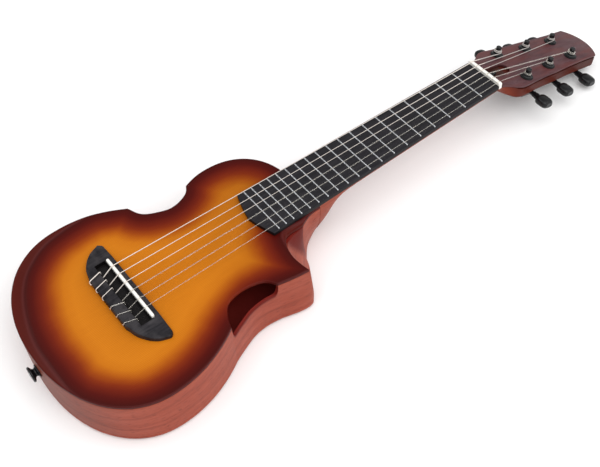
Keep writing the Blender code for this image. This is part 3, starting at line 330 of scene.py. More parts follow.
def woodFinish(name, wood, source="Object", along=0):
    # streaks, fine fibres and pores: one noise each, stretched along the grain axis
    made, tree, shader = newFinish(name, wood["colours"][0], wood["roughness"], specular=wood["specular"])

    def stretched(across, length):
        scale = [1.0 / across] * 3
        scale[along] = 1.0 / length
        return coordinates(tree, tuple(scale), source)

    streakSize, poreSize = wood["sizes"]
    streaks = noise(tree, stretched(streakSize, streakSize * 14.0), 4.0, 0.6)
    fibres = noise(tree, stretched(streakSize * 0.12, streakSize * 4.0), 2.0, 0.5)
    pores = spread(tree, noise(tree, stretched(poreSize, poreSize * 11.0), 1.0, 0.5), 0.60, 0.68, 0.0, 1.0)
    blend = mathNode(tree, "MULTIPLY_ADD", streaks, 0.65, mathNode(tree, "MULTIPLY", fibres, 0.35))
    places = (0.5 - wood["range"], 0.5, 0.5 + wood["range"])
    colour = ramp(tree, blend, list(zip(places, wood["colours"])))
    colour = mixColour(tree, mathNode(tree, "MULTIPLY", pores, wood["poreShare"]), colour, wood["pore"])
    tree.links.new(colour, shader.inputs["Base Color"])
    rough = wood["roughness"]
    tree.links.new(spread(tree, fibres, 0.3, 0.7, rough - 0.05, rough + 0.07), shader.inputs["Roughness"])
    height = mathNode(tree, "SUBTRACT", mathNode(tree, "MULTIPLY", fibres, 0.25), pores)
    bump(tree, shader, height, 0.00006, 0.5)
    return made


def speckled(name, surface):
    # a cast or moulded surface: two near colours and a fine bump by one noise
    first, second = surface["colours"]
    rough, grain = surface["roughness"], surface["grain"]
    made, tree, shader = newFinish(name, first, rough, surface["metallic"], surface["specular"])
    clouds = noise(tree, coordinates(tree, (1.0 / grain,) * 3), 4.0, 0.6)
    tree.links.new(mixColour(tree, clouds, first, second), shader.inputs["Base Color"])
    tree.links.new(spread(tree, clouds, 0.3, 0.7, rough * 0.85, rough * 1.2), shader.inputs["Roughness"])
    fine = noise(tree, coordinates(tree, (4.0 / grain,) * 3), 2.0, 0.5)
    bump(tree, shader, fine, surface["depth"], 0.4)
    return made


sunburst = {  # millimetres from the edge, and the colour there
    "stops": (
        # the stop at -1 mm is a painted highlight along the bevel's crease, the one at 1.5 mm a painted shade line
        # just inside it
        (-16, (0.092, 0.008, 0.004)), (-3, (0.078, 0.006, 0.003)), (-1, (0.090, 0.014, 0.013)),
        (1.5, (0.052, 0.003, 0.002)), (8, (0.080, 0.004, 0.002)), (15, (0.145, 0.012, 0.003)),
        (20, (0.212, 0.025, 0.003)), (25, (0.312, 0.056, 0.003)), (30, (0.430, 0.103, 0.004)),
        (36, (0.550, 0.164, 0.006)), (45, (0.600, 0.190, 0.008)), (70, (0.560, 0.174, 0.006)),
        (100, (0.520, 0.152, 0.005)),
    ),
    "from": -16.0, "reach": 100.0, "roughness": 0.36, "specular": 0.09, "grainSpacing": 0.0016,
    "grain": (0.62, 0.50, 0.40), "grainShare": 0.45,
    "headShade": (0.62, 0.58, 0.55), "headShare": 0.8, "headFrom": 0.05, "headTo": 0.17,  # metres along X
    "wander": 0.010, "wanderIn": (0.16, 0.30), "shadeIn": (0.27, 0.42),  # shares of the way from low to high
}


def sunburstFinish():
    # the colour follows the distance from the edge, moved a little by a cloud, with fine grain along X
    made, tree, shader = newFinish("sunburst", (0.6, 0.2, 0.01), sunburst["roughness"],
                                   specular=sunburst["specular"])
    away = addNode(tree, "ShaderNodeAttribute", attribute_name="fromEdge").outputs["Fac"]
    cloud = noise(tree, coordinates(tree, (28.0, 34.0, 30.0)), 3.0, 0.55)
    low, high = sunburst["from"], sunburst["reach"]
    place = spread(tree, away, low / 1000.0, high / 1000.0, 0.0, 1.0)
    most = sunburst["wander"]
    wander = mathNode(tree, "MULTIPLY", spread(tree, cloud, 0.3, 0.7, -most, most),
                      spread(tree, place, *sunburst["wanderIn"], 0.0, 1.0))
    colour = ramp(tree, mathNode(tree, "ADD", place, wander),
                  [((p - low) / (high - low), c) for p, c in sunburst["stops"]])
    waves = {"Vector": coordinates(tree, (6.0, 1.0 / sunburst["grainSpacing"], 40.0)), "Scale": 0.32,
             "Distortion": 2.2, "Detail": 2.0, "Detail Scale": 0.6}
    lines = addNode(tree, "ShaderNodeTexWave", waves, wave_type="BANDS", bands_direction="Y").outputs["Fac"]
    silk = noise(tree, coordinates(tree, (45.0, 900.0, 300.0)), 3.0, 0.6)
    grain = mathNode(tree, "MULTIPLY", mathNode(tree, "ADD", lines, silk), 0.5)
    share = spread(tree, grain, 0.2, 0.8, 0.0, sunburst["grainShare"])
    colour = mixColour(tree, share, colour, sunburst["grain"], "MULTIPLY")
    share = mathNode(
        tree, "MULTIPLY", spread(tree, place, *sunburst["shadeIn"], 0.0, 1.0),
        spread(tree, axisPlaces(tree)["X"], sunburst["headFrom"], sunburst["headTo"], 0.0, sunburst["headShare"]))
    colour = mixColour(tree, share, colour, sunburst["headShade"], "MULTIPLY")
    tree.links.new(colour, shader.inputs["Base Color"])
    bump(tree, shader, grain, 0.00004, 0.35)
    return made


def repaint(finish, share, colour, blend="MIX"):
    # lays another colour over the finish's own
    base = finish.node_tree.nodes["Principled BSDF"].inputs["Base Color"]
    made = mixColour(finish.node_tree, share, base.links[0].from_socket, colour, blend)
    finish.node_tree.links.new(made, base)
    return finish


def darkenInLayers(finish, layers):
    # each layer turns the wood to a darker colour where its attribute goes from low to high; the layers hold both
    # real staining and painted shade
    for name, low, high, colour in layers:
        share = addNode(finish.node_tree, "ShaderNodeAttribute", attribute_name=name).outputs["Fac"]
        repaint(finish, spread(finish.node_tree, share, low, high, 0.0, 1.0), colour)
    return finish


def boxed(finish, low, high, share, colour):
    # another colour inside a box of the object's own X, |Y| and Z
    tree = finish.node_tree
    where = axisPlaces(tree)
    away = (where["X"], mathNode(tree, "ABSOLUTE", where["Y"]), where["Z"])
    for socket, least, most in zip(away, low, high):
        inside = mathNode(tree, "COMPARE", socket, (least + most) / 2.0, (most - least) / 2.0)
        share = mathNode(tree, "MULTIPLY", inside, share)
    return repaint(finish, share, colour)


def patched(finish, size, share, colour):
    # soft patches of another colour, by one noise
    tree = finish.node_tree
    clouds = noise(tree, coordinates(tree, [1.0 / part for part in size]), 2.0, 0.5)
    return repaint(finish, spread(tree, clouds, 0.42, 0.62, 0.0, share), colour)


def figured(finish, scale, share, colour):
    # thin dark growth lines along the UV's length: the troughs of a wandering wave
    tree = finish.node_tree
    waves = {"Vector": coordinates(tree, scale, "UV"), "Scale": 1.0, "Distortion": 7.0, "Detail": 2.5,
             "Detail Scale": 0.7, "Detail Roughness": 0.55}
    wave = addNode(tree, "ShaderNodeTexWave", waves, wave_type="BANDS", bands_direction="Y").outputs["Fac"]
    return repaint(finish, spread(tree, wave, 0.0, 0.14, share, 0.0), colour)


# three grain colours from dark to pale and their spread, gloss, streak and pore size in metres, pores
mahogany = {
    "colours": ((0.250, 0.044, 0.024), (0.330, 0.068, 0.038), (0.395, 0.092, 0.056)), "range": 0.20,
    "roughness": 0.44, "specular": 0.13, "pore": (0.12, 0.022, 0.014),
}
woods = {
    "side": {**mahogany, "sizes": (0.007, 0.0007), "poreShare": 0.8},
    "back": {**mahogany, "sizes": (0.008, 0.0007), "poreShare": 0.5},
    "neck": {
        "colours": ((0.225, 0.040, 0.021), (0.290, 0.060, 0.033), (0.345, 0.082, 0.048)), "range": 0.20,
        "roughness": 0.44, "specular": 0.13, "sizes": (0.006, 0.0006),
        "pore": (0.12, 0.022, 0.012), "poreShare": 0.5,
    },
    "veneer": {
        "colours": ((0.052, 0.018, 0.021), (0.084, 0.036, 0.041), (0.118, 0.058, 0.064)), "range": 0.18,
        "roughness": 0.40, "specular": 0.22, "sizes": (0.005, 0.0007),
        "pore": (0.036, 0.008, 0.010), "poreShare": 0.6,
    },
    "board": {
        "colours": ((0.009, 0.009, 0.011), (0.017, 0.016, 0.019), (0.031, 0.028, 0.032)), "range": 0.20,
        "roughness": 0.46, "specular": 0.16, "sizes": (0.004, 0.0005),
        "pore": (0.006, 0.005, 0.007), "poreShare": 0.7,
    },
    "bridge": {
        "colours": ((0.006, 0.005, 0.007), (0.013, 0.012, 0.015), (0.036, 0.032, 0.036)), "range": 0.18,
        "roughness": 0.48, "specular": 0.13, "sizes": (0.005, 0.0006),
        "pore": (0.006, 0.005, 0.006), "poreShare": 0.7,
    },
    "inside": {
        "colours": ((0.46, 0.30, 0.16), (0.58, 0.40, 0.23), (0.66, 0.48, 0.30)), "range": 0.20,
        "roughness": 0.62, "specular": 0.3, "sizes": (0.004, 0.0004),
        "pore": (0.34, 0.20, 0.10), "poreShare": 0.3,
    },
}
stainsAndShades = {
    # the sill colour: staining on the port's sill and in the scoop, where it partly stands for painted shade; the
    # inside colour: painted shade over the hollow body's inner skin
    "sill": (0.125, 0.009, 0.005), "inside": (0.240, 0.022, 0.016), "growth": (0.150, 0.026, 0.015),
    # tail: painted shade, a multiply that darkens the sides towards the tail
    "tail": (0.62, 0.74, 0.80), "tailShadeFrom": -0.070, "tailShadeTo": -0.108,
    # the head's rim colour: painted shade along the head's rims; the recess colour: painted shade in the truss-rod
    # recess
    "head": (0.128, 0.018, 0.007), "headRimShade": (0.045, 0.008, 0.006), "recess": (0.052, 0.019, 0.015),
    # the board side colour: painted shade on the board's sides
    "veneerPatch": (0.125, 0.030, 0.026), "boardSideShade": (0.003, 0.003, 0.003),
    # the channel colour: painted shade, near black, in the bridge's channel; the last: painted shade that dims the
    # windings on the head
    "bridgePatch": (0.060, 0.055, 0.058), "channel": (0.003, 0.002, 0.002), "headWindingShade": (0.34, 0.33, 0.33),
}
sideFinish = figured(woodFinish("sideMahogany", woods["side"], source="UV"), (9.0, 15.0, 1.0), 0.28,
                     stainsAndShades["growth"])
# painted shade: the sides darken towards the tail
sideX = axisPlaces(sideFinish.node_tree)["X"]
repaint(sideFinish, spread(sideFinish.node_tree, sideX, stainsAndShades["tailShadeFrom"], stainsAndShades["tailShadeTo"], 0.0, 1.0),
        stainsAndShades["tail"], "MULTIPLY")
# staining on the sill and in the scoop, partly painted shade in the scoop; painted shade over the inner skin
darkenInLayers(sideFinish, (("stainAndShade", 0.0, 1.0, stainsAndShades["sill"]), ("inside", 0.0, 1.0, stainsAndShades["inside"])))
backFinish = woodFinish("backMahogany", woods["back"])
# the neck darkens towards the head; painted shade darkens the head's rounded rims
neckFinish = darkenInLayers(woodFinish("neckMahogany", woods["neck"]),
                     (("darkerTowardHead", 0.0, 1.0, stainsAndShades["head"]), ("headUnshaded", 1.0, 0.0, stainsAndShades["headRimShade"])))
veneerFinish = patched(woodFinish("headVeneer", woods["veneer"]), (0.045, 0.010, 0.020), 0.55,
                       stainsAndShades["veneerPatch"])
darkFinish = woodFinish("darkBoard", woods["board"])
rawFinish = woodFinish("insideSpruce", woods["inside"], along=1)

# two near colours, their cloud's size and the bump's depth in metres
surfaces = {
    # painted shade: a dark red-brown for the back's inner face, inside the hollow body
    "paintedInsideShade": {"colours": ((0.260, 0.024, 0.018), (0.190, 0.015, 0.011)), "roughness": 0.60,
                    "metallic": 0.0, "specular": 0.12, "grain": 0.010, "depth": 0.00003},
    "bone": {"colours": ((0.90, 0.89, 0.85), (0.84, 0.82, 0.76)), "roughness": 0.34,
             "metallic": 0.0, "specular": 0.5, "grain": 0.006, "depth": 0.00002},
    "fretNickel": {"colours": ((0.52, 0.53, 0.55), (0.44, 0.45, 0.47)), "roughness": 0.24,
                   "metallic": 1.0, "specular": 0.5, "grain": 0.004, "depth": 0.00001},
    "blackPlating": {"colours": ((0.005, 0.006, 0.006), (0.010, 0.011, 0.012)), "roughness": 0.20,
                     "metallic": 0.0, "specular": 0.32, "grain": 0.003, "depth": 0.00001},
    "blackKnob": {"colours": ((0.004, 0.004, 0.005), (0.008, 0.008, 0.009)), "roughness": 0.18,
                  "metallic": 0.0, "specular": 0.28, "grain": 0.004, "depth": 0.00001},
    "screwSteel": {"colours": ((0.50, 0.50, 0.51), (0.38, 0.38, 0.40)), "roughness": 0.32,
                   "metallic": 1.0, "specular": 0.5, "grain": 0.002, "depth": 0.00001},
}
insideShadeFinish, boneFinish, fretFinish, blackFinish, knobFinish, steelFinish = (
    speckled(name, surface) for name, surface in surfaces.items())
burstFinish = sunburstFinish()


def stringFinish(name, look):
    # rings or a faint cloud along the string's own length, read from its UV
    made, tree, shader = newFinish(name, look["colours"][0], look["roughness"], look["metallic"])
    where = coordinates(tree, (1.0, 1.0 / look["pitch"], 1.0), "UV")
    waves = {"Vector": where, "Scale": 0.3183, "Distortion": 0.0}  # one ring to each step of the vector
    rings = addNode(tree, "ShaderNodeTexWave", waves, wave_type="BANDS", bands_direction="Y").outputs["Fac"]
    tree.links.new(mixColour(tree, rings, look["colours"][1], look["colours"][0]), shader.inputs["Base Color"])
    bump(tree, shader, rings, look["depth"], 0.8)
    shader.inputs["Transmission Weight"].default_value = look["clearness"]
    shader.inputs["IOR"].default_value = look["bending"]
    return made


stringLooks = {
    "wound": {"colours": ((0.90, 0.83, 0.76), (0.66, 0.58, 0.52)), "roughness": 0.36, "metallic": 0.35,
              "pitch": 0.0011, "depth": 0.00004, "clearness": 0.0, "bending": 1.5},
    "nylon": {"colours": ((0.97, 0.94, 0.88), (0.95, 0.90, 0.82)), "roughness": 0.16, "metallic": 0.0,
              "pitch": 0.020, "depth": 0.0, "clearness": 0.82, "bending": 1.45},
}
woundFinish = stringFinish("silverWound", stringLooks["wound"])
nylonFinish = stringFinish("clearNylon", stringLooks["nylon"])
print("stage: finishes made")

# Scale and joint
scaleShape = {"length": 0.433, "frets": 19, "jointFret": 14, "atNut": 0.040, "atSaddle": 0.058}
nutX = scaleShape["length"]
jointX = nutX * 2.0 ** (-scaleShape["jointFret"] / 12.0)

# Body outline
bodyShape = {
    "length": 0.2983, "depth": 0.060, "lowerHalf": 0.1115, "upperHalf": 0.0821, "waist": 0.0620,
    "waistSide": 0.0753, "upperSetback": 0.060, "upperCorner": 0.0854, "lowerCorner": 0.1452,
    "lowerSetback": 0.217, "upperCornerHalf": 0.0764, "lowerCornerHalf": 0.0887, "shoulderFlat": 0.018,
    "shoulderPower": 2.25, "tailPower": 2.17, "sideThickness": 0.0035, "topThickness": 0.0035,
    "backThickness": 0.006, "backRadius": 0.0045, "edgeWidth": 0.0014, "edgeDrop": 0.0010,
    "bevelWidth": 0.0155, "bevelDrop": 0.0054, "sillTail": 0.0176, "sillHead": 0.0157,
    "scoopEase": 1.25, "scoopLevel": 0.25,
}
tailX = jointX - bodyShape["length"]
upperX = jointX - bodyShape["upperSetback"]
upperCornerX = jointX - bodyShape["upperCorner"]
lowerCornerX = jointX - bodyShape["lowerCorner"]
lowerX = jointX - bodyShape["lowerSetback"]
topZ = bodyShape["depth"]
outlineCounts = {"front": 5, "shoulder": 60, "rear": 14, "waist": 70, "lower": 30, "tail": 90, "port": 96}

# (share of the way between the corners, distance out from the waist's or the port side's half width)
waistKnots = ((0.93, 0.0082), (0.76, 0.0023), (0.545, 0.0002), (0.36, 0.0035), (0.11, 0.0127))
portKnots = ((0.08, 0.0135), (0.20, 0.0040), (0.45, -0.0006), (0.66, 0.0001), (0.88, 0.0048))
portSideKnots = ((0.25, 0.0067), (0.52, 0.0009), (0.74, -0.0004))

# the horn and the cutaway at the top, a quarter of the way down and at the back:
# (behind the neck joint, towards the treble side)
hornKnots = (
    ((0.0694, 0.0797), (0.0535, 0.0818)),
    ((0.0692, 0.0797), (0.0530, 0.0818)),
    ((0.0770, 0.0788), (0.0680, 0.0812), (0.0600, 0.0825), (0.0545, 0.0825), (0.0508, 0.0812)),
)
scoopKnots = (
    ((0.0554, 0.0700), (0.0559, 0.0615), (0.0531, 0.0475), (0.0464, 0.0366)),
    ((0.0545, 0.0705), (0.0541, 0.0618), (0.0502, 0.0502), (0.0422, 0.0406)),
    ((0.0480, 0.0785), (0.0423, 0.0722), (0.0366, 0.0632), (0.0306, 0.0525), (0.0266, 0.0440)),
)
creaseKnots = ((0.0248, 0.0345), (0.0264, 0.0350), (0.0245, 0.0360))
flankKnots = (
    ((0.0130, 0.0299), (0.0000, 0.0288)),
    ((0.0142, 0.0298), (0.0000, 0.0282)),
    ((0.0145, 0.0230), (0.0000, 0.0120)),
)
flankEnds = (0.0150, 0.0150, 0.0065)
cutawayCounts = {"horn": 28, "scoop": 60, "flank": 20}


def cutawayShare(count):
    # along the outline: 0 to 1 from the horn's tip to the crease, 1 to 2 along the heel's flank, else -1
    share = np.full(count, -1.0)
    crease = count - 1 - cutawayCounts["flank"]
    share[crease - cutawayCounts["scoop"] + 1:crease] = even(cutawayCounts["scoop"])[:-1]
    share[crease:count - 1] = 1.0 + even(cutawayCounts["flank"])
    return share


def betweenCorners(share):
    return lowerCornerX + share * (upperCornerX - lowerCornerX)


def cutawayOutline(level):
    # three smooth paths: horn, scoop and heel flank
    def spot(pair):
        return (jointX - pair[0], -pair[1])

    start = (upperCornerX, -bodyShape["upperCornerHalf"])
    tip, crease = spot(hornKnots[level][-1]), spot(creaseKnots[level])
    horn = pathThrough([start, *map(spot, hornKnots[level])], even(cutawayCounts["horn"]))
    scoop = pathThrough([tip, *map(spot, scoopKnots[level]), crease], even(cutawayCounts["scoop"]))
    flank = pathThrough([crease, *map(spot, flankKnots[level])], even(cutawayCounts["flank"]))
    return np.concatenate([horn[:-1], scoop[:-1], flank])


def throughCorners(knots, half, count, side):
    # between the upper and the lower corner, or back, by knots beyond the half width
    ends = [(lowerCornerX, side * bodyShape["lowerCornerHalf"]),
            (upperCornerX, side * bodyShape["upperCornerHalf"])]
    corners = [(betweenCorners(share), side * (half + out)) for share, out in knots]
    return pathThrough([ends[side > 0], *corners, ends[side < 0]], eased(count))


def bodyOutline(level, overPort):
    # the closed outline, counter-clockwise from the joint's centre, and which points lie at the port
    half, upper, flat = bodyShape["lowerHalf"], bodyShape["upperHalf"], bodyShape["shoulderFlat"]
    counts = outlineCounts
    front = np.column_stack([np.full(counts["front"], jointX), np.linspace(0.0, flat, counts["front"] + 1)[:-1]])
    shoulder = superArc((upperX, flat), (bodyShape["upperSetback"], upper - flat), bodyShape["shoulderPower"],
                        0.0, 90.0, counts["shoulder"])
    share = even(counts["rear"])[1:-1]
    rear = np.column_stack([upperX + (upperCornerX - upperX) * share,
                            upper - (upper - bodyShape["upperCornerHalf"]) * share**2])
    waist = throughCorners(waistKnots, bodyShape["waist"], counts["waist"], 1)
    share = even(counts["lower"])
    lower = np.column_stack([lowerCornerX + (lowerX - lowerCornerX) * share,
                             half - (half - bodyShape["lowerCornerHalf"]) * (1.0 - share) ** 2])
    tail = superArc((lowerX, 0.0), (tailX - lowerX, half), bodyShape["tailPower"], 90.0, 0.0, counts["tail"])
    if overPort:
        port = throughCorners(portKnots, bodyShape["waist"], counts["port"], -1)
    else:
        port = throughCorners(portSideKnots, bodyShape["waistSide"], counts["port"], -1)
    last = np.array([(jointX, -flankEnds[level])])
    pieces = [front, shoulder, rear, waist, lower[1:], tail[1:], tail[::-1][1:] * (1, -1),
              lower[::-1][1:] * (1, -1), port[1:-1], cutawayOutline(level), last]
    start = sum(len(p) for p in pieces[:8])
    where = np.full(sum(len(p) for p in pieces), -1.0)
    where[start:start + counts["port"] - 2] = eased(counts["port"])[1:-1]
    return np.concatenate(pieces), where


def outlineAt(z, overPort=False):
    # between the three levels by a smooth curve of the depth raised to a power
    ease = bodyShape["scoopEase"]
    levels = [bodyOutline(level, overPort)[0] for level in range(3)]
    depth = np.clip((topZ - np.asarray(z, float)) / topZ, 0.0, 1.0) ** ease
    depth = np.broadcast_to(depth, len(levels[0]))
    knots = np.array([0.0, bodyShape["scoopLevel"] ** ease, 1.0])
    t = curveThrough(np.column_stack([knots, np.eye(3)]), depth)
    return sum(t[:, k:k + 1] * levels[k] for k in range(3))


# (degrees about the lower bout from the tail, share of the bevel's full width and fall)
bevelKnots = (
    (-180, 0.0), (-44, 0.0), (-36, 0.13), (-26, 0.36), (-13, 0.54), (0, 0.60), (21, 0.82), (37, 0.96),
    (52, 1.0), (69, 1.0), (81, 0.81), (92, 0.60), (101, 0.36), (112, 0.0), (180, 0.0),
)
# (place along the cutaway, share of the ramp's full width and fall)
rampKnots = ((-1.0, 0.0), (0.46, 0.0), (0.60, 0.40), (0.74, 1.0), (0.86, 0.78), (1.0, 0.52), (1.3, 0.22),
             (1.7, 0.0), (2.0, 0.0))
rampShape = {"width": 0.0068, "drop": 0.0045}


def rampAt(count):
    # straight lines between the ramp's knots, by each point's place along the cutaway
    return np.interp(cutawayShare(count), *np.transpose(rampKnots))


def edgeForm(outline):
    # the bevel's width and fall by the angle about the lower bout, and the ramp above the scoop
    angle = np.degrees(np.arctan2(outline[:, 1], lowerX - outline[:, 0]))
    share = np.clip(curveThrough(bevelKnots, angle)[:, 0], 0.0, 1.0)
    share[outline[:, 0] > lowerCornerX] = 0.0
    width = bodyShape["edgeWidth"] + (bodyShape["bevelWidth"] - bodyShape["edgeWidth"]) * share
    drop = bodyShape["edgeDrop"] + (bodyShape["bevelDrop"] - bodyShape["edgeDrop"]) * share**1.4
    ramped = rampAt(len(outline))
    return width + rampShape["width"] * ramped, drop + rampShape["drop"] * ramped


def distanceFrom(points, loop):
    # least distance from each point to the closed loop's segments
    a, b = loop, np.roll(loop, -1, axis=0)
    span = b - a
    size = np.sum(span**2, axis=1)
    best = np.full(len(points), 1.0)
    for low in range(0, len(points), 4000):
        p = points[low:low + 4000, None, :]
        t = np.clip(np.sum((p - a) * span, axis=2) / size, 0.0, 1.0)
        best[low:low + 4000] = np.min(np.linalg.norm(p - a - t[..., None] * span, axis=2), axis=1)
    return best


topShape = {
    "creaseSoftness": 0.035, "spineTail": -0.024, "spineHead": 0.118, "rows": 30, "burstInset": 0.9,
    "rimAngles": (0, 12, 24, 36, 48, 60, 72, 82, 90), "bevelShares": (0.2, 0.4, 0.6, 0.8, 0.92, 0.97),
    "pastCrease": (0.0, 0.0003, 0.0009, 0.003), "underEdge": 0.0004, "underInset": 0.002,
}


def makeTop():
    # rows run in from the lip: rounded rim, bevel with a soft crease, flat field to a spine
    outline = bodyOutline(0, True)[0]
    width, drop = edgeForm(outline)
    rim, roll = bodyShape["edgeWidth"], bodyShape["edgeDrop"]
    lip = topZ - drop - (bodyShape["topThickness"] - roll)
    under = topShape["underEdge"]
    rows = [lifted(insetOutline(outline, width + topShape["underInset"]), topZ - bodyShape["topThickness"]),
            lifted(insetOutline(outline, under), lip), lifted(outline, lip + under)]
    crease = np.maximum(width, rim + 0.0015)
    steps = [rim * (1 - math.cos(a)) for a in np.radians(topShape["rimAngles"])]
    steps += [rim + (crease - rim) * share for share in topShape["bevelShares"]]
    steps += [crease + past for past in topShape["pastCrease"]]
    soft = topShape["creaseSoftness"] ** 2 * np.clip((width - rim) / 0.002, 0, 1)
    ramped = np.clip(rampAt(len(outline)) * 3.0, 0.0, 1.0)
    for step in steps:
        d = np.broadcast_to(np.asarray(step, float), len(outline))
        x = 1.0 - d / width
        slope = 0.5 * (x + np.sqrt(x * x + soft))
        edge = 1.0 - np.sqrt(np.clip(1.0 - np.clip(1.0 - d / rim, 0.0, 1.0) ** 2, 0.0, 1.0))
        rolled = 1.0 - np.sqrt(np.clip(1.0 - np.clip(x, 0.0, 1.0) ** 2, 0.0, 1.0))
        flat = (drop - roll) * np.maximum(slope, 0.0) + roll * edge
        rows.append(lifted(insetOutline(outline, d), topZ - flat - (drop * rolled - flat) * ramped))
    last = rows[-1]
    spine = np.column_stack([np.clip(last[:, 0], topShape["spineTail"], topShape["spineHead"]),
                             np.zeros(len(last)), np.full(len(last), topZ)])
    rows += [last + (spine - last) * t for t in even(topShape["rows"])[1:]]
    grid = np.stack(rows)
    # the burst follows the rim behind the port, not the port's edge, and is negative on the bevel
    edgeLine = bodyOutline(0, False)[0]
    burst = insetOutline(edgeLine, topShape["burstInset"] * (edgeForm(edgeLine)[0] - rim))
    flat = grid.reshape(-1, 3)[:, :2]
    away = distanceFrom(flat, burst)
    bevel = np.broadcast_to(width * topShape["burstInset"], grid.shape[:2]).ravel()
    away[(distanceFrom(flat, edgeLine) < bevel - 0.001) & (bevel > 0.003)] *= -1.0
    mesh = gridMesh(grid, caps=False)
    mesh[1].append(np.arange(len(outline))[::-1].tolist())
    return makePiece("top", mesh, burstFinish, ["soundboard"], angle=40, values={"fromEdge": away})


sideShape = {
    "sillRound": 0.0013, "headFillet": 0.0055, "tailFillet": 0.004, "portLength": 0.066, "edge": 0.0003,
    "levels": 34, "innerLevels": 8, "sillStain": 0.0032, "scoopStainAndShadeFrom": 0.60, "scoopStainAndShadeDeep": 0.044,
    "scoopStainAndShadeSoft": 0.015, "screwHole": 0.0020,
}


def sideTop():
    # under the soundboard, or the sill, which rises in a quarter ellipse at the port's two ends
    outline, where = bodyOutline(0, False)
    drop = edgeForm(outline)[1]
    top = topZ - drop - (bodyShape["topThickness"] - bodyShape["edgeDrop"]) - air
    inPort = where >= 0.0
    s = where[inPort]
    sill = topZ - (bodyShape["sillTail"] + (bodyShape["sillHead"] - bodyShape["sillTail"]) * s)
    length, edge = sideShape["portLength"], sideShape["edge"]
    rise = np.zeros_like(s)
    for distance, reach in ((s * length, sideShape["tailFillet"]), ((1 - s) * length, sideShape["headFillet"])):
        x = np.clip(1.0 - distance / reach, 0.0, 1.0)
        rise = np.maximum(rise, 1.0 - np.sqrt(1.0 - x * x))
    top[inPort] = sill + (top[inPort] - sill) * rise
    roundness = np.full(len(outline), edge)
    roundness[inPort] = edge + (sideShape["sillRound"] - edge) * (1.0 - rise)
    return top, roundness


def makeSides():
    # the outer skin down from a rounded edge, then the inner skin back up
    top, roundness = sideTop()
    bottom = bodyShape["backThickness"] + air
    thick, edge = bodyShape["sideThickness"], sideShape["edge"]
    rows = []
    quarter = np.radians(np.linspace(0.0, 90.0, 6))
    for a in quarter:
        z = top - roundness * (1 - math.sin(a))
        rows.append(lifted(insetOutline(outlineAt(z), roundness * (1 - math.cos(a))), z))
    rows = rows[::-1]
    start = top - roundness
    for share in even(sideShape["levels"])[1:]:
        z = start + (bottom + edge - start) * share
        rows.append(lifted(outlineAt(z), z))
    rows.append(lifted(insetOutline(outlineAt(bottom), edge), bottom))
    for share in even(sideShape["innerLevels"])[::-1]:
        z = start + (bottom - start) * share
        rows.append(lifted(insetOutline(outlineAt(z), thick), z))
    for a in quarter[1:]:
        z = top - roundness * (1 - math.sin(a))
        rows.append(lifted(insetOutline(outlineAt(z), thick - roundness * (1 - math.cos(a))), z))
    grid = np.stack(rows)
    outline, where = bodyOutline(0, False)
    steps = np.linalg.norm(np.roll(outline, -1, axis=0) - outline, axis=1)
    u = np.concatenate([[0.0], np.cumsum(steps)])
    z = np.concatenate([grid[..., 2], grid[:, :1, 2]], axis=1)
    uv = np.stack([np.broadcast_to(u, z.shape), z], axis=-1)
    # dark colour: painted shade over the whole inner skin; staining on the sill, fading below it; and, above a
    # slanting line in the scoop, staining that partly stands for painted shade
    inside = np.zeros(grid.shape[:2])
    inside[len(quarter) + sideShape["levels"] + 1:] = 1.0
    depth = top - grid[..., 2]
    stainAndShade = (where >= 0.0) * np.clip(1.0 - (depth - roundness) / sideShape["sillStain"], 0.0, 1.0)
    share = cutawayShare(grid.shape[1])
    begin = sideShape["scoopStainAndShadeFrom"]
    reach = sideShape["scoopStainAndShadeDeep"] * (share - begin) / (1.0 - begin)
    shade = np.clip((reach - depth) / sideShape["scoopStainAndShadeSoft"] + 0.5, 0.0, 1.0)
    stainAndShade = np.maximum(stainAndShade, np.where((share >= 0.0) & (share <= 1.0), shade, 0.0))
    piece = makePiece("sides", gridMesh(grid, along=True, caps=False, uv=uv), sideFinish,
                      ["rim"], angle=42, values={"inside": inside.ravel(), "stainAndShade": stainAndShade.ravel()})
    turn = Matrix.Translation((tailX, 0.0, strapZ)) @ Matrix.Rotation(math.pi / 2, 4, "Y")
    return cutAway(piece, [rodMesh(sideShape["screwHole"], -0.012, 0.012, 24, turn)], 42)


def makeBack():
    # a flat plate whose lower rim is a quarter circle
    radius, thick, edge = bodyShape["backRadius"], bodyShape["backThickness"], sideShape["edge"]
    rows = []
    for a in np.radians(np.linspace(0.0, 90.0, 12)):
        z = radius * (1 - math.cos(a))
        rows.append(lifted(insetOutline(outlineAt(z), radius * (1 - math.sin(a))), z))
    rows.append(lifted(outlineAt(thick - edge), thick - edge))
    rows.append(lifted(insetOutline(outlineAt(thick), edge), thick))
    piece = makePiece("backPlate", gridMesh(np.stack(rows)), backFinish, ["back"], angle=42)
    # the plate's inner face gets painted shade for the inside of the hollow body
    piece.data.materials.append(insideShadeFinish)
    upper = np.zeros(len(piece.data.polygons), int)
    upper[np.argmax([face.center.z if face.normal.z > 0.9 else -1.0 for face in piece.data.polygons])] = 1
    piece.data.polygons.foreach_set("material_index", upper)
    return piece


strapZ = topZ - 0.0270
makeTop()
print("stage: top made")
makeSides()
makeBack()
print("stage: sides and back made")

# Neck and head
neckShape = {
    "boardAtNut": 0.0472, "boardAtEnd": 0.0608, "depthAtNut": 0.0112, "depthAtHeel": 0.0142,
    "heelDepth": 0.0545, "heelLength": 0.060, "heelPower": 2.3, "power": 1.7, "headPower": 36.0,
    "nutThickness": 0.0045,
}
headShape = {
    "tilt": math.radians(15.3), "length": 0.1605, "thickness": 0.0146, "plate": 0.0020,
    "endRadius": 0.0416, "endAngle": 39.95, "recessWidth": 0.0150, "recessLength": 0.0330,
    "squareFrom": 0.018, "rodDiameter": 0.0052,
}
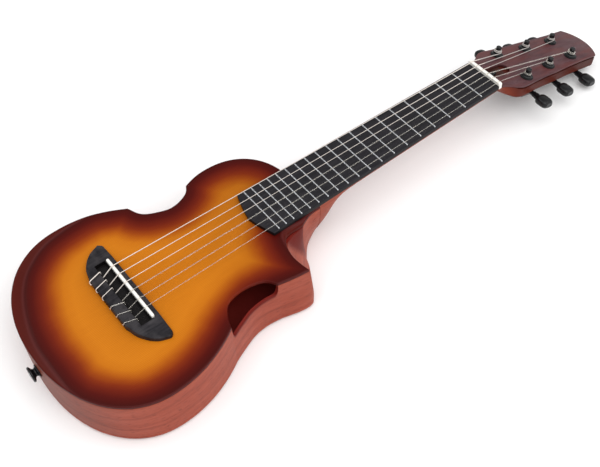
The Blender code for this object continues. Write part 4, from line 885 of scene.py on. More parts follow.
# (share of the heel's length, share of its depth), then (distance along the head, half width)
heelKnots = ((0.0, 1.0), (0.07, 0.92), (0.16, 0.80), (0.24, 0.64), (0.32, 0.44), (0.40, 0.28), (0.52, 0.12),
             (0.70, 0.03), (1.0, 0.0))
headKnots = ((0.0, 0.0236), (0.005, 0.0248), (0.009, 0.0268), (0.014, 0.0300), (0.019, 0.0328), (0.025, 0.0341),
             (0.032, 0.0337), (0.042, 0.0325), (0.054, 0.0314), (0.070, 0.0304), (0.085, 0.0296), (0.105, 0.0281),
             (0.125, 0.0270), (0.151, 0.0266))
headDarkening = {  # metres along X or the head, then shares of the neck's depth and of the darkening, painted shade on the rims
    "before": 0.030, "rise": 0.034, "atNut": 0.45, "pastNut": 0.030, "rimIn": 0.026, "endFrom": 0.03,
    "endReach": 0.12, "topRim": 0.5, "lowRim": 0.80, "lowReach": 0.18, "rimShare": 0.85, "endShare": 0.30,
}
boardShape = {"thickness": 0.0044, "endArch": 0.008, "pastLastFret": 0.0068, "fretInset": 0.0009,
              "fretWidth": 0.0020, "fretHeight": 0.0010, "nutHeight": 0.0080}
boardEnd = nutX * 2.0 ** (-scaleShape["frets"] / 12.0) - boardShape["pastLastFret"]
boardTop = topZ + air + boardShape["thickness"]
fretTop = boardTop + air + boardShape["fretHeight"]
nutFloor = fretTop + 0.0004
headStart = np.array((nutX + neckShape["nutThickness"], 0.0, topZ))
headAlong = np.array((math.cos(headShape["tilt"]), 0.0, -math.sin(headShape["tilt"])))
headUp = np.array((math.sin(headShape["tilt"]), 0.0, math.cos(headShape["tilt"])))
headPlace = (Matrix.Translation(Vector(headStart)) @ Matrix.Rotation(headShape["tilt"], 4, "Y")
             @ Matrix.Translation((0.0, 0.0, headShape["plate"] + air)))
rodZ = topZ - air - headShape["rodDiameter"] / 2.0
tunerShape = {
    "stations": (0.0388, 0.0794, 0.1194), "spacings": (0.0226, 0.0179, 0.0153), "postRadius": 0.0030,
    "postHeight": 0.0103, "barrel": 0.0046, "collar": 0.0058, "washer": 0.0070, "collarHeight": 0.0018,
    "washerHeight": 0.0008, "width": 0.0170, "front": 0.0080, "back": 0.0150, "height": 0.0085,
    "wormOffset": 0.0102, "wormDepth": 0.0193, "shaft": 0.0025, "knobCentres": (0.0471, 0.0425, 0.0403),
    "knobLength": 0.0160, "knobWidth": 0.0152, "knobThickness": 0.0100, "knobSquare": 0.22,
    "crown": 0.0009, "hole": 0.0006, "boreFloor": 0.0030,
}
seatHeight = air + tunerShape["washerHeight"] + tunerShape["collarHeight"]
boreFloor = -(headShape["thickness"] + air) - tunerShape["height"] + tunerShape["boreFloor"]


def boardHalf(x):
    # half the width, straight from the nut to the board's end
    share = (nutX - x) / (nutX - boardEnd)
    return (neckShape["boardAtNut"] + (neckShape["boardAtEnd"] - neckShape["boardAtNut"]) * share) / 2.0


def headHalf(s):
    # the smooth side curve, or the end's circle where that is narrower
    s = np.atleast_1d(np.asarray(s, float))
    side = curveThrough(headKnots, s)[:, 0]
    radius = headShape["endRadius"]
    sag = np.clip(headShape["length"] - s, 0.0, radius)
    return np.minimum(side, np.sqrt(np.clip(radius**2 - (radius - sag) ** 2, 0.0, None)))


def sectionRows(half, depth, power, count=45):
    # half a superellipse: flat above, round or square below
    angle = np.linspace(0.0, math.pi, count)[None, :]
    c, s = np.cos(angle), np.sin(angle)
    half, depth, power = (np.asarray(v, float)[:, None] for v in (half, depth, power))
    return half * np.sign(c) * np.abs(c) ** (2.0 / power), -depth * np.abs(s) ** (2.0 / power)


def headStations():
    # even steps, then the end circle's, closer together towards the tip
    arch = headShape["endRadius"] * (1 - np.cos(np.radians(np.linspace(headShape["endAngle"], 4.0, 26))))
    return np.concatenate([np.linspace(0.002, 0.034, 24), np.linspace(0.037, 0.148, 30),
                           headShape["length"] - arch])


def tunerPlaces():
    return [(s, side * y) for side in (1, -1) for s, y in zip(tunerShape["stations"], tunerShape["spacings"])]


def recessSolid(floor, start):
    # the U-shaped pocket behind the nut
    wide = headShape["recessWidth"] / 2.0
    begin = nutX + neckShape["nutThickness"] + start
    straight = headStart[0] + (headShape["recessLength"] - wide) * math.cos(headShape["tilt"])
    angle = np.radians(np.linspace(-90, 90, 28))
    arc = np.column_stack([straight + wide * np.cos(angle), wide * np.sin(angle)])
    loop = np.concatenate([[(begin, -wide)], arc, [(begin, wide)]])
    return gridMesh(np.stack([lifted(loop, floor), lifted(loop, fretTop)]))


def tunerHoles():
    radius, reach = tunerShape["barrel"] + air, headShape["thickness"] + 0.004
    return [rodMesh(radius, -reach, 0.004, 32, headPlace @ Matrix.Translation((s, y, 0.0)))
            for s, y in tunerPlaces()]


def makeNeck():
    # sections square to the neck, then square to the tilted head
    x = np.concatenate([jointX + air + (neckShape["heelLength"] - air) * even(40),
                        np.linspace(jointX + neckShape["heelLength"] + 0.006,
                                    nutX + neckShape["nutThickness"] * 0.7, 34)])
    heel = curveThrough(heelKnots, (x - jointX) / neckShape["heelLength"])[:, 0]
    share = (nutX - x) / (nutX - jointX)
    thin = neckShape["depthAtNut"] + (neckShape["depthAtHeel"] - neckShape["depthAtNut"]) * share
    depth = thin + (neckShape["heelDepth"] - thin) * heel
    power = neckShape["power"] + (neckShape["heelPower"] - neckShape["power"]) * heel
    across, down = sectionRows(boardHalf(x) - 0.0003, depth, power)
    neck = np.stack([np.broadcast_to(x[:, None], across.shape), across, topZ + down], axis=-1)
    s = headStations()
    blend = np.clip(s / headShape["squareFrom"], 0.0, 1.0)
    under = headShape["thickness"] - headShape["plate"] - air
    depth = neckShape["depthAtNut"] + (under - neckShape["depthAtNut"]) * blend
    power = neckShape["power"] * (neckShape["headPower"] / neckShape["power"]) ** (blend**1.2)
    across, down = sectionRows(headHalf(s), depth, power)
    head = headStart + s[:, None, None] * headAlong + down[..., None] * headUp
    head[..., 1] += across
    # the head is darker than the neck, with painted shade along its rounded top and bottom rims, and darker still
    # towards its end
    down = np.concatenate([np.zeros(neck.shape[:2]), -down / depth[:, None]])
    look, none = headDarkening, np.zeros(len(x))
    along = np.concatenate([np.clip((x - nutX + look["before"]) / look["rise"], 0.0, look["atNut"]),
                            np.clip(look["atNut"] + s / look["pastNut"], 0.0, 1.0)])[:, None]
    onHead = np.concatenate([none, np.clip(s / look["rimIn"], 0.0, 1.0)])[:, None]
    end = np.concatenate([none, np.clip((s - look["endFrom"]) / look["endReach"], 0.0, 1.0)])[:, None]
    dark = np.maximum(np.clip(1.0 - down / look["topRim"], 0.0, 1.0),
                      np.clip((down - look["lowRim"]) / look["lowReach"], 0.0, 1.0))
    dark = np.clip(dark * look["rimShare"] + end * look["endShare"], 0.0, 1.0) * onHead
    values = {"darkerTowardHead": np.broadcast_to(along, dark.shape).ravel(), "headUnshaded": (1.0 - dark).ravel()}
    piece = makePiece("neckAndHead", gridMesh(np.concatenate([neck, head])), neckFinish, ["neck"],
                      angle=38, values=values)
    wide = headShape["rodDiameter"] / 2.0 + air
    # painted shade: the truss-rod recess is darker
    boxed(neckFinish, (nutX + neckShape["nutThickness"], 0.0, topZ - 0.0075),
          (headStart[0] + headShape["recessLength"], headShape["recessWidth"] / 2.0 + 0.0005, 1.0), 1.0,
          stainsAndShades["recess"])
    tools = [recessSolid(rodZ - wide - 0.0008, 0.0004), *tunerHoles()]
    return cutAway(piece, tools, 38)


def makeHeadPlate():
    # the head's outline raised by the veneer's thickness, with softened rims
    radius = headShape["endRadius"]
    s = np.concatenate([np.linspace(air, 0.034, 40), np.linspace(0.036, 0.1495, 50)])
    phi = np.radians(np.linspace(headShape["endAngle"], 2.8, 24))
    side = np.column_stack([s, headHalf(s)])
    end = np.column_stack([headShape["length"] - radius * (1 - np.cos(phi)), radius * np.sin(phi)])
    half = np.concatenate([side, end])
    outline = np.concatenate([half * (1, -1), half[::-1]])
    points, faces, _ = roundedPlate(outline, -headShape["plate"], 0.0, 0.0001, 0.0004)
    piece = makePiece("headFace", (moveGrid(points, headPlace), faces, None), veneerFinish,
                      ["head_plate"], angle=40)
    return cutAway(piece, [recessSolid(rodZ - 0.010, -0.004), *tunerHoles()], 40)


makeNeck()
makeHeadPlate()
print("stage: neck and head made")


# Board, frets, nut
def makeBoard():
    # the tapered outline with its arched end, raised with softened rims
    across = np.linspace(-1.0, 1.0, 41)
    arch = boardShape["endArch"] * (1.0 - np.abs(across) ** 1.3)
    end = np.column_stack([boardEnd - arch, across[::-1] * boardHalf(boardEnd)])
    x = np.linspace(boardEnd, nutX, 60)[1:]
    outline = np.concatenate([end, np.column_stack([x, -boardHalf(x)]),
                              np.column_stack([x[::-1], boardHalf(x[::-1])])])
    # painted shade: the board's sides below its top are darker
    boxed(darkFinish, (-1.0, 0.0, -1.0), (1.0, 1.0, boardTop - 0.0007), 0.8, stainsAndShades["boardSideShade"])
    return makePiece("board", roundedPlate(outline, topZ + air, boardTop, 0.0002, 0.0004), darkFinish,
                     ["fretboard"], angle=40)


def makeFrets():
    # a half ellipse carried across the board, its ends filed at a slant
    across = np.concatenate([[-1.0, -0.985, -0.965], np.linspace(-0.9, 0.9, 9), [0.965, 0.985, 1.0]])
    height = np.interp(np.abs(across), (0.0, 0.965, 0.985, 1.0), (1.0, 1.0, 0.80, 0.12))
    angle = np.radians(np.linspace(0.0, 180.0, 15))
    for number in range(1, scaleShape["frets"] + 1):
        x = nutX * 2.0 ** (-number / 12.0)
        half = boardHalf(x) - boardShape["fretInset"]
        rows = []
        for a, h in zip(across, height):
            run = boardShape["fretWidth"] / 2.0 * np.cos(angle) * (0.6 + 0.4 * h)
            rise = boardTop - 0.0001 + (boardShape["fretHeight"] + air + 0.0001) * h * np.sin(angle)
            rows.append(np.column_stack([x + run, np.full(len(angle), a * half), rise]))
        makePiece(f"fretWire{number:02d}", gridMesh(np.stack(rows)), fretFinish,
                  [f"fret_{number:02d}"], angle=45)


stringDiameters = (0.00071, 0.00082, 0.00102, 0.00076, 0.00089, 0.00107)


def stringShare(number):
    return (number - 1) / 5.0 - 0.5


nutShape = {"round": 0.0012, "lip": 0.0001, "lipFall": 0.0002, "fall": 0.0008}
nutRows = (  # (distance along the neck, how far the profile shrinks there)
    (air, 0.0005), (air + 0.00015, 0.00015), (air + 0.0005, 0.0), (0.0036, 0.0), (0.0043, 0.0003), (0.0045, 0.0008),
)


def makeNut():
    # a notched profile across the neck, carried along it with eased edges
    half = boardHalf(nutX)
    base, top = topZ + air, topZ + boardShape["nutHeight"]
    lip, lipZ = nutShape["lip"], top - nutShape["lipFall"]
    corner = [(half - nutShape["round"] * (1 - math.cos(a)), top - nutShape["round"] * (1 - math.sin(a)))
              for a in np.radians(np.linspace(0, 90, 6))]
    profile = [(-half, base)] + [(-y, z) for y, z in corner]
    for number in range(1, 7):
        y, wide = stringShare(number) * scaleShape["atNut"], stringDiameters[number - 1] / 2.0 + air
        profile += [(y - wide - lip, top), (y - wide, lipZ), (y - wide, nutFloor), (y + wide, nutFloor),
                    (y + wide, lipZ), (y + wide + lip, top)]
    profile += corner[::-1] + [(half, base)]
    profile = np.array(profile)[::-1]
    rows = []
    for x, shrink in nutRows:
        fall = nutShape["fall"] * (x / neckShape["nutThickness"])
        z = np.where(profile[:, 1] > nutFloor + 1e-5, profile[:, 1] - fall - shrink, profile[:, 1])
        y = profile[:, 0] * (1 - shrink / half)
        rows.append(np.column_stack([np.full(len(y), nutX + x), y, z]))
    return makePiece("nutBone", gridMesh(np.stack(rows)), boneFinish, ["nut"], angle=40)


makeBoard()
makeFrets()
makeNut()
print("stage: board, frets and nut made")

# Bridge and saddle
bridgeShape = {
    "width": 0.0308, "length": 0.1285, "ahead": 0.0045, "height": 0.0073, "wingTip": 0.0036,
    "saddleLength": 0.081, "saddleThickness": 0.0030, "saddleAbove": 0.0026, "saddleSetIn": 0.0030,
    "saddleSetback": 0.0018, "saddleWall": 0.0008, "channelFloor": 0.0032, "edge": 0.0014, "block": 0.0115,
    "hole": 0.0011, "bassLoop": (0.0021, 0.0047), "trebleLoop": (-0.0014, -0.0047),
    "tipFrom": 0.93, "tipRound": 0.0032, "slopeFrom": 0.66, "slopePower": 0.8, "holeDepth": 0.0034,
}
bridgeFront = bridgeShape["ahead"]
bridgeRear = bridgeFront - bridgeShape["width"]
bridgeTop = topZ + air + bridgeShape["height"]
saddleTop = bridgeTop + bridgeShape["saddleAbove"]
blockFront = bridgeRear + bridgeShape["block"]
holeZ = bridgeTop - bridgeShape["holeDepth"]
# (share of the half length, share of the width cut away behind)
wingKnots = ((0.50, 0.0), (0.55, 0.04), (0.62, 0.07), (0.70, 0.13), (0.79, 0.24), (0.88, 0.39), (0.95, 0.58),
             (1.0, 0.84))


def holeY(number):
    return stringShare(number) * scaleShape["atSaddle"] * 0.96


def bridgeFinish():
    # the bridge's own dark wood with paler worn patches, and painted shade, near black, inside the channel
    made = patched(woodFinish("bridgeWood", woods["bridge"]), (0.012, 0.020, 0.012), 0.5, stainsAndShades["bridgePatch"])
    low = (blockFront - 0.0003, 0.0, 0.0)
    high = (-bridgeShape["saddleSetback"], bridgeShape["saddleLength"] / 2.0 + 0.0012, 1.0)
    return boxed(made, low, high, 0.9, stainsAndShades["channel"])


def makeBridge():
    # a rounded profile carried along the bridge, its wings cut back and falling to their tips
    wing = 1.0 - 0.5 * even(46)[::-1] ** 1.3
    share = np.concatenate([-wing[::-1], np.linspace(-0.48, 0.48, 25), wing])
    away = curveThrough(wingKnots, np.abs(share))[:, 0] * bridgeShape["width"]
    rear = bridgeRear + away
    tip, slope = (np.clip((np.abs(share) - bridgeShape[key]) / (1.0 - bridgeShape[key]), 0.0, 1.0)
                  for key in ("tipFrom", "slopeFrom"))
    front = bridgeFront - bridgeShape["tipRound"] * tip**2
    top = bridgeTop - (bridgeShape["height"] - bridgeShape["wingTip"]) * slope ** bridgeShape["slopePower"]
    edge = np.minimum(bridgeShape["edge"], (front - rear) / 3.0)
    y = share * bridgeShape["length"] / 2.0
    base = topZ + air
    quarter = np.radians(np.linspace(0, 90, 7))
    columns = [(front, np.full_like(top, base))]
    columns += [(front - edge * (1 - math.cos(a)), top - edge * (1 - math.sin(a))) for a in quarter]
    columns += [(front + (rear - front) * t, top) for t in (0.25, 0.5, 0.75)]
    columns += [(rear + edge * (1 - math.cos(a)), top - edge * (1 - math.sin(a))) for a in quarter[::-1]]
    columns += [(rear, np.full_like(top, base))]
    x = np.stack([c[0] for c in columns], axis=1)
    z = np.stack([c[1] for c in columns], axis=1)
    grid = np.stack([x, np.broadcast_to(y[:, None], x.shape), z], axis=-1)
    piece = makePiece("bridgeWood", gridMesh(grid), bridgeFinish(), ["bridge"], angle=32)
    wide, reach = bridgeShape["saddleThickness"] / 2.0 + air, bridgeShape["saddleLength"] / 2.0 + air
    rear, front = -bridgeShape["saddleSetback"] - wide, -bridgeShape["saddleSetback"] + wide
    slot = boxMesh((rear, -reach, bridgeTop - bridgeShape["saddleSetIn"] - air), (front, reach, bridgeTop + 0.01))
    side = bridgeShape["saddleLength"] / 2.0 + 0.001
    channel = boxMesh((blockFront, -side, topZ + bridgeShape["channelFloor"]),
                      (rear - bridgeShape["saddleWall"], side, bridgeTop + 0.01))
    cutAway(piece, [slot, channel], 32)
    holes = []
    for number in range(1, 7):
        place = Matrix.Translation((bridgeRear, holeY(number), holeZ)) @ Matrix.Rotation(math.pi / 2, 4, "Y")
        holes.append(rodMesh(bridgeShape["hole"], -0.002, bridgeShape["block"] + 0.002, 20, place))
    return cutAway(piece, holes, 32)


def makeSaddle():
    # a strip with round ends, its crown an arc
    wide, reach = bridgeShape["saddleThickness"] / 2.0, bridgeShape["saddleLength"] / 2.0
    angle = np.radians(np.linspace(0, 180, 17))
    arc = np.column_stack([wide * np.cos(angle), reach - wide + wide * np.sin(angle)])
    outline = np.concatenate([arc, -arc]) - (bridgeShape["saddleSetback"], 0.0)
    rows = [lifted(outline, bridgeTop - bridgeShape["saddleSetIn"])]
    for a in np.radians(np.linspace(0, 80, 9)):
        inward = 0.0012 * (1 - math.cos(a))
        rows.append(lifted(insetOutline(outline, inward), saddleTop - 0.0010 * (1 - math.sin(a))))
    return makePiece("saddleBone", gridMesh(np.stack(rows)), boneFinish, ["saddle"], angle=40)


makeBridge()
makeSaddle()
print("stage: bridge and saddle made")


# Tuning machines
def blockRing(side, z, shrink, sides=56):
    # a squared ellipse about the middle of the case
    high = np.array((tunerShape["back"] - shrink, tunerShape["width"] / 2.0 - shrink))
    low = np.array((-tunerShape["front"] + shrink, -tunerShape["width"] / 2.0 + shrink))
    angle = np.linspace(0, 2 * math.pi, sides, endpoint=False)
    c, s = np.cos(angle), np.sin(angle)
    x = (high[0] + low[0]) / 2 + (high[0] - low[0]) / 2 * np.sign(c) * np.abs(c) ** 0.42
    y = high[1] * np.sign(s) * np.abs(s) ** 0.42
    return np.column_stack([x, side * y, np.full(sides, z)])


def roundRing(side, z, radius, sides=56):
    # a circle with as many points as the squared ring
    angle = np.linspace(0, 2 * math.pi, sides, endpoint=False)
    return np.column_stack([radius * np.cos(angle), side * radius * np.sin(angle), np.full(sides, z)])


# (rise from the case's far face, how far its outline shrinks there)
caseRows = ((0.0, 0.0058), (0.0003, 0.0046), (0.0010, 0.0034), (0.0022, 0.0023), (0.0040, 0.0014), (0.0060, 0.0009))
# (distance short of the knob, radius of the worm's shaft)
shaftRows = ((0.0046, 0.0031), (0.0044, 0.0027), (0.0037, 0.0027), (0.0035, 0.0034), (0.0014, 0.0034),
             (0.0012, 0.0028), (0.0, 0.0028))
# (share of the knob's length, shares of its half width and half thickness)
knobKnots = (
    (0.0, 0.52, 0.66), (0.03, 0.70, 0.80), (0.09, 0.87, 0.92), (0.20, 0.97, 0.99), (0.40, 1.0, 1.0),
    (0.66, 0.99, 0.99), (0.80, 0.94, 0.94), (0.88, 0.86, 0.85), (0.925, 0.79, 0.77), (0.94, 0.71, 0.68),
    (0.96, 0.69, 0.66), (1.0, 0.60, 0.56),
)


def makeCase(label, side, place):
    # squared rings up the case, then round ones up the barrel, washer and collar and down the bore
    ceiling = -(headShape["thickness"] + air)
    bore = tunerShape["postRadius"] + air
    barrel, washer, collar = tunerShape["barrel"], tunerShape["washer"], tunerShape["collar"]
    rows = [blockRing(side, ceiling - tunerShape["height"] + rise, shrink) for rise, shrink in caseRows]
    rows += [blockRing(side, ceiling - 0.0006, 0.0008), blockRing(side, ceiling, 0.0012)]
    washerTop = air + tunerShape["washerHeight"]
    rows += [roundRing(side, z, r) for z, r in (
        (ceiling, barrel), (air, barrel), (air, washer), (washerTop - 0.0003, washer),
        (washerTop - 0.0001, washer - 0.0001), (washerTop, washer - 0.0004), (washerTop, collar),
        (seatHeight - 0.0008, collar - 0.0002), (seatHeight - 0.0003, collar - 0.0006),
        (seatHeight, collar - 0.0011), (seatHeight, bore + 0.0003), (seatHeight - 0.0003, bore),
        (boreFloor, bore))]
    case = makePiece(f"case_{label}", gridMesh(moveGrid(np.stack(rows), place)), blackFinish,
                     [f"tuner_housing_{label}"], angle=38)
    offset = (tunerShape["wormOffset"], side * tunerShape["width"] / 2.0, -tunerShape["wormDepth"])
    worm = place @ Matrix.Translation(offset) @ Matrix.Rotation(math.pi / 2, 4, "X")
    return cutAway(case, [rodMesh(tunerShape["shaft"] + air, -0.006, 0.006, 24, worm)], 38)


def makePost(label, place):
    # a turned post with a slight waist and a rounded crown, cross-drilled for the string
    radius, high = tunerShape["postRadius"], tunerShape["postHeight"]
    profile = [(0.0, boreFloor + air), (radius - 0.0004, boreFloor + air), (radius, boreFloor + 0.001),
               (radius, seatHeight + 0.0002), (radius - 0.0002, seatHeight + 0.0007),
               (radius - 0.0002, high - 0.0022), (radius, high - 0.0017)]
    crown = tunerShape["crown"]
    profile += [(radius - crown * (1 - math.cos(a)), high - crown * (1 - math.sin(a)))
                for a in np.radians(np.linspace(0, 90, 7))]
    profile += [(0.0010, high), (0.0, high)]
    post = makePiece(f"post_{label}", gridMesh(turnedGrid(profile, 36, place), caps=False), blackFinish,
                     [f"tuner_post_{label}"], body=f"post_{label}", angle=40)
    across = place @ Matrix.Translation((0.0, 0.0, high - 0.0030)) @ Matrix.Rotation(math.pi / 2, 4, "Y")
    return cutAway(post, [rodMesh(tunerShape["hole"], -0.006, 0.006, 16, across)], 40)


def makeKnob(label, side, place, start):
    # ellipses carried out along the worm's axis: a plain shaft, then the knob, which is slightly squared
    inner = tunerShape["width"] / 2.0 - 0.0050
    wide, thick, length = (tunerShape[key] for key in ("knobWidth", "knobThickness", "knobLength"))
    shaft, clear = tunerShape["shaft"], tunerShape["width"] / 2.0 + 0.0006
    stations = [(inner, 0.0), (inner, shaft - 0.0003), (inner + 0.0003, shaft), (clear, shaft),
                (clear + 0.0003, shaftRows[0][1])]
    stations += [(start - short, radius) for short, radius in shaftRows]
    stations = [(spot, radius, radius) for spot, radius in stations]
    stations += [(start + length * t, wide / 2.0 * a, thick / 2.0 * b)
                 for t, (a, b) in zip(eased(40), curveThrough(knobKnots, eased(40)))]
    stations += [(start + length, 0.0, 0.0)]
    angle = np.linspace(0, 2 * math.pi, 40, endpoint=False)
    c, s = np.cos(angle), np.sin(angle)
    table = np.array(stations)
    square = np.clip((table[:, :1] - start) / (0.2 * length), 0.0, 1.0) * tunerShape["knobSquare"]
    x = table[:, 1:2] * np.sign(c) * np.abs(c) ** (1.0 - square)
    z = table[:, 2:3] * np.sign(s) * np.abs(s) ** (1.0 - square)
    y = np.broadcast_to(side * table[:, :1], x.shape)
    axis = place @ Matrix.Translation((tunerShape["wormOffset"], 0.0, -tunerShape["wormDepth"]))
    makePiece(f"knob_{label}", gridMesh(moveGrid(np.stack([x, y, z], axis=-1), axis), caps=False), knobFinish,
              [f"tuner_button_{label}"], body=f"button_{label}", angle=40)


tunerRows = list(zip(tunerShape["stations"], tunerShape["spacings"], tunerShape["knobCentres"]))
for side, name in ((1, "bass"), (-1, "treble")):
    for number, (station, spacing, knobCentre) in enumerate(tunerRows, 1):
        place = headPlace @ Matrix.Translation((station, side * spacing, 0.0))
        makeCase(f"{name}_{number}", side, place)
        makePost(f"{name}_{number}", place)
        makeKnob(f"{name}_{number}", side, place, knobCentre - tunerShape["knobLength"] / 2.0 - spacing)
print("stage: tuning machines made")

# Strings
windingShape = {"air": 0.00050, "turns": 2.0, "loopPoints": 48}


def headPoints(s, y, h):
    # from distance along, across and above the head's face
    points = np.stack(np.broadcast_arrays(s, y, h), axis=-1)
    return moveGrid(points, headPlace)


def windingPoints(number, radius):
    # a helix about the post that starts where the string meets it
    index, side = (number - 1, -1) if number <= 3 else (6 - number, 1)
    station, spacing = tunerShape["stations"][index], side * tunerShape["spacings"][index]
    coil = tunerShape["postRadius"] + air + radius
    run = np.array((station, spacing - side * coil - stringShare(number) * scaleShape["atNut"]))
    run /= np.linalg.norm(run)
    begin = math.atan2(-side * run[0], side * run[1])
    turn = np.linspace(0.0, windingShape["turns"], int(windingShape["turns"] * windingShape["loopPoints"]) + 1)
    angle = begin + side * turn * 2.0 * math.pi
    low = seatHeight + air + radius
    return headPoints(station + coil * np.cos(angle), spacing + coil * np.sin(angle),
                      low + (2.0 * radius + windingShape["air"]) * turn)


def stringPath(number):
    # the loop over the tie block, the rise to the saddle, the run to the nut, then the winding
    radius = stringDiameters[number - 1] / 2.0
    y, hole = stringShare(number) * scaleShape["atSaddle"], holeY(number)
    off = air + radius + 0.0001
    behind, loop = (hole + shift for shift in bridgeShape["bassLoop" if number > 3 else "trebleLoop"])
    tie = [(blockFront + off, loop, holeZ + 0.0004), (blockFront + off, loop, bridgeTop - 0.0016)]
    tie += [(blockFront + off * math.cos(a), loop - 0.0002 * a, bridgeTop + off * math.sin(a))
            for a in np.radians((0, 30, 60, 90))]
    edge = bridgeShape["edge"] + off
    tie += [(bridgeRear + bridgeShape["edge"] + edge * math.cos(a), behind - 0.0003 * a,
             bridgeTop - bridgeShape["edge"] + edge * math.sin(a))
            for a in np.radians((90, 107, 124, 141, 158, 180))]
    tie += [(bridgeRear - off, hole + 0.0001, holeZ + 0.0006), (bridgeRear - off + 0.0005, hole, holeZ + 0.0001),
            (bridgeRear + 0.0004, hole, holeZ), (blockFront - 0.0002, hole, holeZ)]
    crown, rear = saddleTop + air + radius, -bridgeShape["saddleSetback"] - bridgeShape["saddleThickness"] / 2.0
    rise = [(blockFront + 0.0006, hole + (y - hole) * 0.05, holeZ + 0.0002), (rear - 0.0009, y, crown - 0.0010),
            (rear + 0.0009, y, crown), (rear + 0.0023, y, crown)]
    end, over = stringShare(number) * scaleShape["atNut"], nutFloor + air + radius
    nut = [(nutX - 0.0008, end, over), (nutX + neckShape["nutThickness"] * 0.7, end, over - 0.0001),
           (nutX + neckShape["nutThickness"] + 0.0010, end, over - 0.0006)]
    return np.concatenate([np.array(tie + rise + nut), windingPoints(number, radius)]), radius


def roundedPath(points, limit):
    # each inner corner becomes a quadratic arc that starts and ends at most `limit` from it
    span = np.diff(points, axis=0)
    size = np.linalg.norm(span, axis=1)
    unit = span / size[:, None]
    cut = np.minimum(np.minimum(size[:-1], size[1:]) * 0.42, limit)[:, None]
    first, last = points[1:-1] - unit[:-1] * cut, points[1:-1] + unit[1:] * cut
    t = np.array((0.0, 0.33, 0.67, 1.0))[None, :, None]
    arcs = (1 - t) ** 2 * first[:, None] + 2 * t * (1 - t) * points[1:-1, None] + t**2 * last[:, None]
    return np.concatenate([points[:1], arcs.reshape(-1, 3), points[-1:]])


def tubeGrid(path, radius, sides):
    # a circle carried along the path, square to it, kept upright by a reference that turns once
    step = np.gradient(path, axis=0)
    tangent = step / np.linalg.norm(step, axis=1)[:, None]
    share = np.clip((path[:, 0] - 0.10) / 0.25, 0.0, 1.0)[:, None]
    reference = np.array((0.0, 1.0, 0.0)) * (1 - share) + headUp * share
    first = np.cross(tangent, reference)
    first /= np.linalg.norm(first, axis=1)[:, None]
    second = np.cross(tangent, first)
    angle = np.linspace(0, 2 * math.pi, sides, endpoint=False)
    ring = first[:, None] * np.cos(angle)[:, None] + second[:, None] * np.sin(angle)[:, None]
    place = np.concatenate([[0.0], np.cumsum(np.linalg.norm(np.diff(path, axis=0), axis=1))])
    u = np.linspace(0, 1, sides + 1)
    uv = np.stack(np.broadcast_arrays(u[None, :], place[:, None]), axis=-1)
    return path[:, None] + radius * ring, uv


def makeStrings():
    # painted shade: the wound strings dimmer over the head, where they wind on the posts
    boxed(woundFinish, (nutX + 0.014, 0.0, -1.0), (1.0, 1.0, 1.0), 0.6, stainsAndShades["headWindingShade"])
    for number in range(1, 7):
        points, radius = stringPath(number)
        grid, uv = tubeGrid(roundedPath(points, 0.0009), radius - 0.000005, 12)  # inside the solid's facets
        wound = number > 3
        makePiece(f"string{number}", gridMesh(grid, uv=uv), woundFinish if wound else nylonFinish,
                  [f"string_{number}"], angle=50)


makeStrings()
print("stage: strings made")

# Strap button and screw
strapShape = {
    "flange": 0.0065, "cap": 0.0078, "capRound": 0.0012, "stem": 0.0040, "height": 0.0080,
    "screw": 0.0017, "sink": 0.0034, "screwLength": 0.0240,
}


def makeStrapButton():
    # a turned profile: flange, waisted stem and domed cap round a screw's countersink
    place = Matrix.Translation((tailX - air, 0.0, strapZ)) @ Matrix.Rotation(-math.pi / 2, 4, "Y")
    flange, cap, rim = strapShape["flange"], strapShape["cap"], strapShape["capRound"]
    high, screw, sink = strapShape["height"], strapShape["screw"], strapShape["sink"]
    bore = screw + air
    up = np.linspace(0.0010, high - 0.0024, 18)
    stem = curveThrough([(0.0010, flange - 0.0001), (0.0018, 0.0047), (0.0030, strapShape["stem"]),
                         (0.0042, 0.0045), (high - 0.0024, cap - 0.0004)], up)[:, 0]
    profile = [(bore, 0.0), (flange - 0.0002, 0.0), (flange, 0.0003), (flange, 0.0007), *zip(stem, up),
               (cap, high - 0.0018), (cap, high - 0.0012)]
    profile += [(cap - rim * (1 - math.cos(a)), high - rim * (1 - math.sin(a)))
                for a in np.radians((20, 40, 60, 80, 90))]
    profile += [(sink + air + 0.0003, high), (sink + air, high - 0.0002), (bore, high - 0.0022)]
    grid = turnedGrid(profile, 48, place)
    makePiece("strapKnob", gridMesh(grid, along=True, caps=False), knobFinish,
              ["strap_button"], angle=40)
    start = high - strapShape["screwLength"]
    head = [(0.0, start), (screw * 0.4, start), (screw, start + 0.004), (screw, high - 0.0021),
            (sink - 0.0001, high - 0.0004), (sink - 0.0003, high - 0.0001), (sink * 0.5, high), (0.0, high)]
    piece = makePiece("strapScrew", gridMesh(turnedGrid(head, 36, place), caps=False), steelFinish,
                      ["strap_screw"], angle=40)
    slots = [boxMesh((-0.0004, -0.0019, high - 0.0012), (0.0004, 0.0019, high + 0.001)),
             boxMesh((-0.0019, -0.0004, high - 0.0012), (0.0019, 0.0004, high + 0.001))]
    for points, faces, _ in slots:
        cutAway(piece, [(moveGrid(points, place), faces, None)], 40)


makeStrapButton()
print("stage: strap button made")

# The pieces that keep their CAD shape
keptNodes = {
    "neck_block": rawFinish, "tail_block": rawFinish, "top_brace": rawFinish, "back_brace": rawFinish,
    "bridge_plate": rawFinish, "truss_rod": blackFinish,
}
for node, finish in keptNodes.items():
    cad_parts[node].data.materials.clear()
    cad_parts[node].data.materials.append(finish)

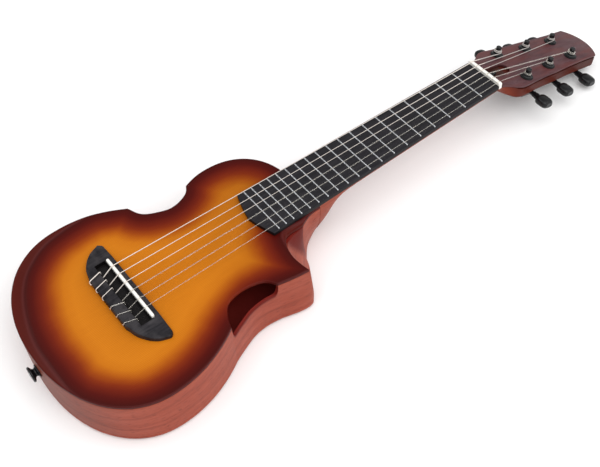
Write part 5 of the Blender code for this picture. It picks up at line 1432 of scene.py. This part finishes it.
# Floor, light and camera
studio = {
    "floorColour": (0.96, 0.96, 0.96), "floorSize": 12.0, "sky": (1.0, 1.0, 1.0), "skyStrength": 0.55,
    "aim": (0.15, 0.0, 0.04),
}
lamps = {  # power in watts, place, size
    "over": (32.0, (-0.2, -0.6, 2.2), 2.6), "strip": (7.0, (-0.65, 1.4, 2.15), 1.0),
    "key": (15.0, (0.2, -1.7, 1.7), 2.0), "fill": (8.0, (1.6, -0.9, 1.1), 1.4),
}
floorGrid = np.zeros((13, 13, 3))
floorGrid[..., 0], floorGrid[..., 1] = np.meshgrid(np.linspace(-1, 1, 13), np.linspace(-1, 1, 13), indexing="ij")
floorGrid *= studio["floorSize"] / 2.0
floorGrid[..., 2] = -0.0002
floorPoints, floorFaces, _ = gridMesh(floorGrid, around=False, caps=False)
floorData = newMesh("floor", floorPoints, floorFaces)
floorData.materials.append(newFinish("floorPaper", studio["floorColour"], 0.9, specular=0.1)[0])
addObject("floor", floorData)

world = bpy.data.worlds.new("studio")
bpy.context.scene.world = world
world.use_nodes = True
world.node_tree.nodes["Background"].inputs["Color"].default_value = (*studio["sky"], 1.0)
world.node_tree.nodes["Background"].inputs["Strength"].default_value = studio["skyStrength"]

for name, (power, place, size) in lamps.items():
    lampData = bpy.data.lights.new(name, "AREA")
    lampData.shape, lampData.size, lampData.energy = "SQUARE", size, power
    lamp = addObject(name, lampData)
    lamp.location = place
    lamp.rotation_euler = (Vector(studio["aim"]) - Vector(place)).to_track_quat("-Z", "Y").to_euler()

view = {
    "place": (-0.1694939, -0.5415038, 0.8147653), "right": (0.7956098, -0.6034682, -0.0532088),
    "down": (-0.5010760, -0.6061568, -0.6176543), "forward": (0.3404818, 0.5180735, -0.7846477),
    "focal": 1023.4046, "frameWidth": 600.0, "sensor": 36.0, "near": 0.05, "far": 30.0,
}
cameraData = bpy.data.cameras.new("view")
cameraData.sensor_fit, cameraData.sensor_width = "HORIZONTAL", view["sensor"]
cameraData.lens = view["focal"] * view["sensor"] / view["frameWidth"]
cameraData.clip_start, cameraData.clip_end = view["near"], view["far"]
camera = addObject("view", cameraData)
right, down, forward = (Vector(view[key]) for key in ("right", "down", "forward"))
turn = Matrix((right, -down, -forward)).transposed().to_4x4()
camera.matrix_world = Matrix.Translation(view["place"]) @ turn
bpy.context.scene.camera = camera
bpy.context.scene.view_settings.view_transform = "Standard"
print("stage: studio set")
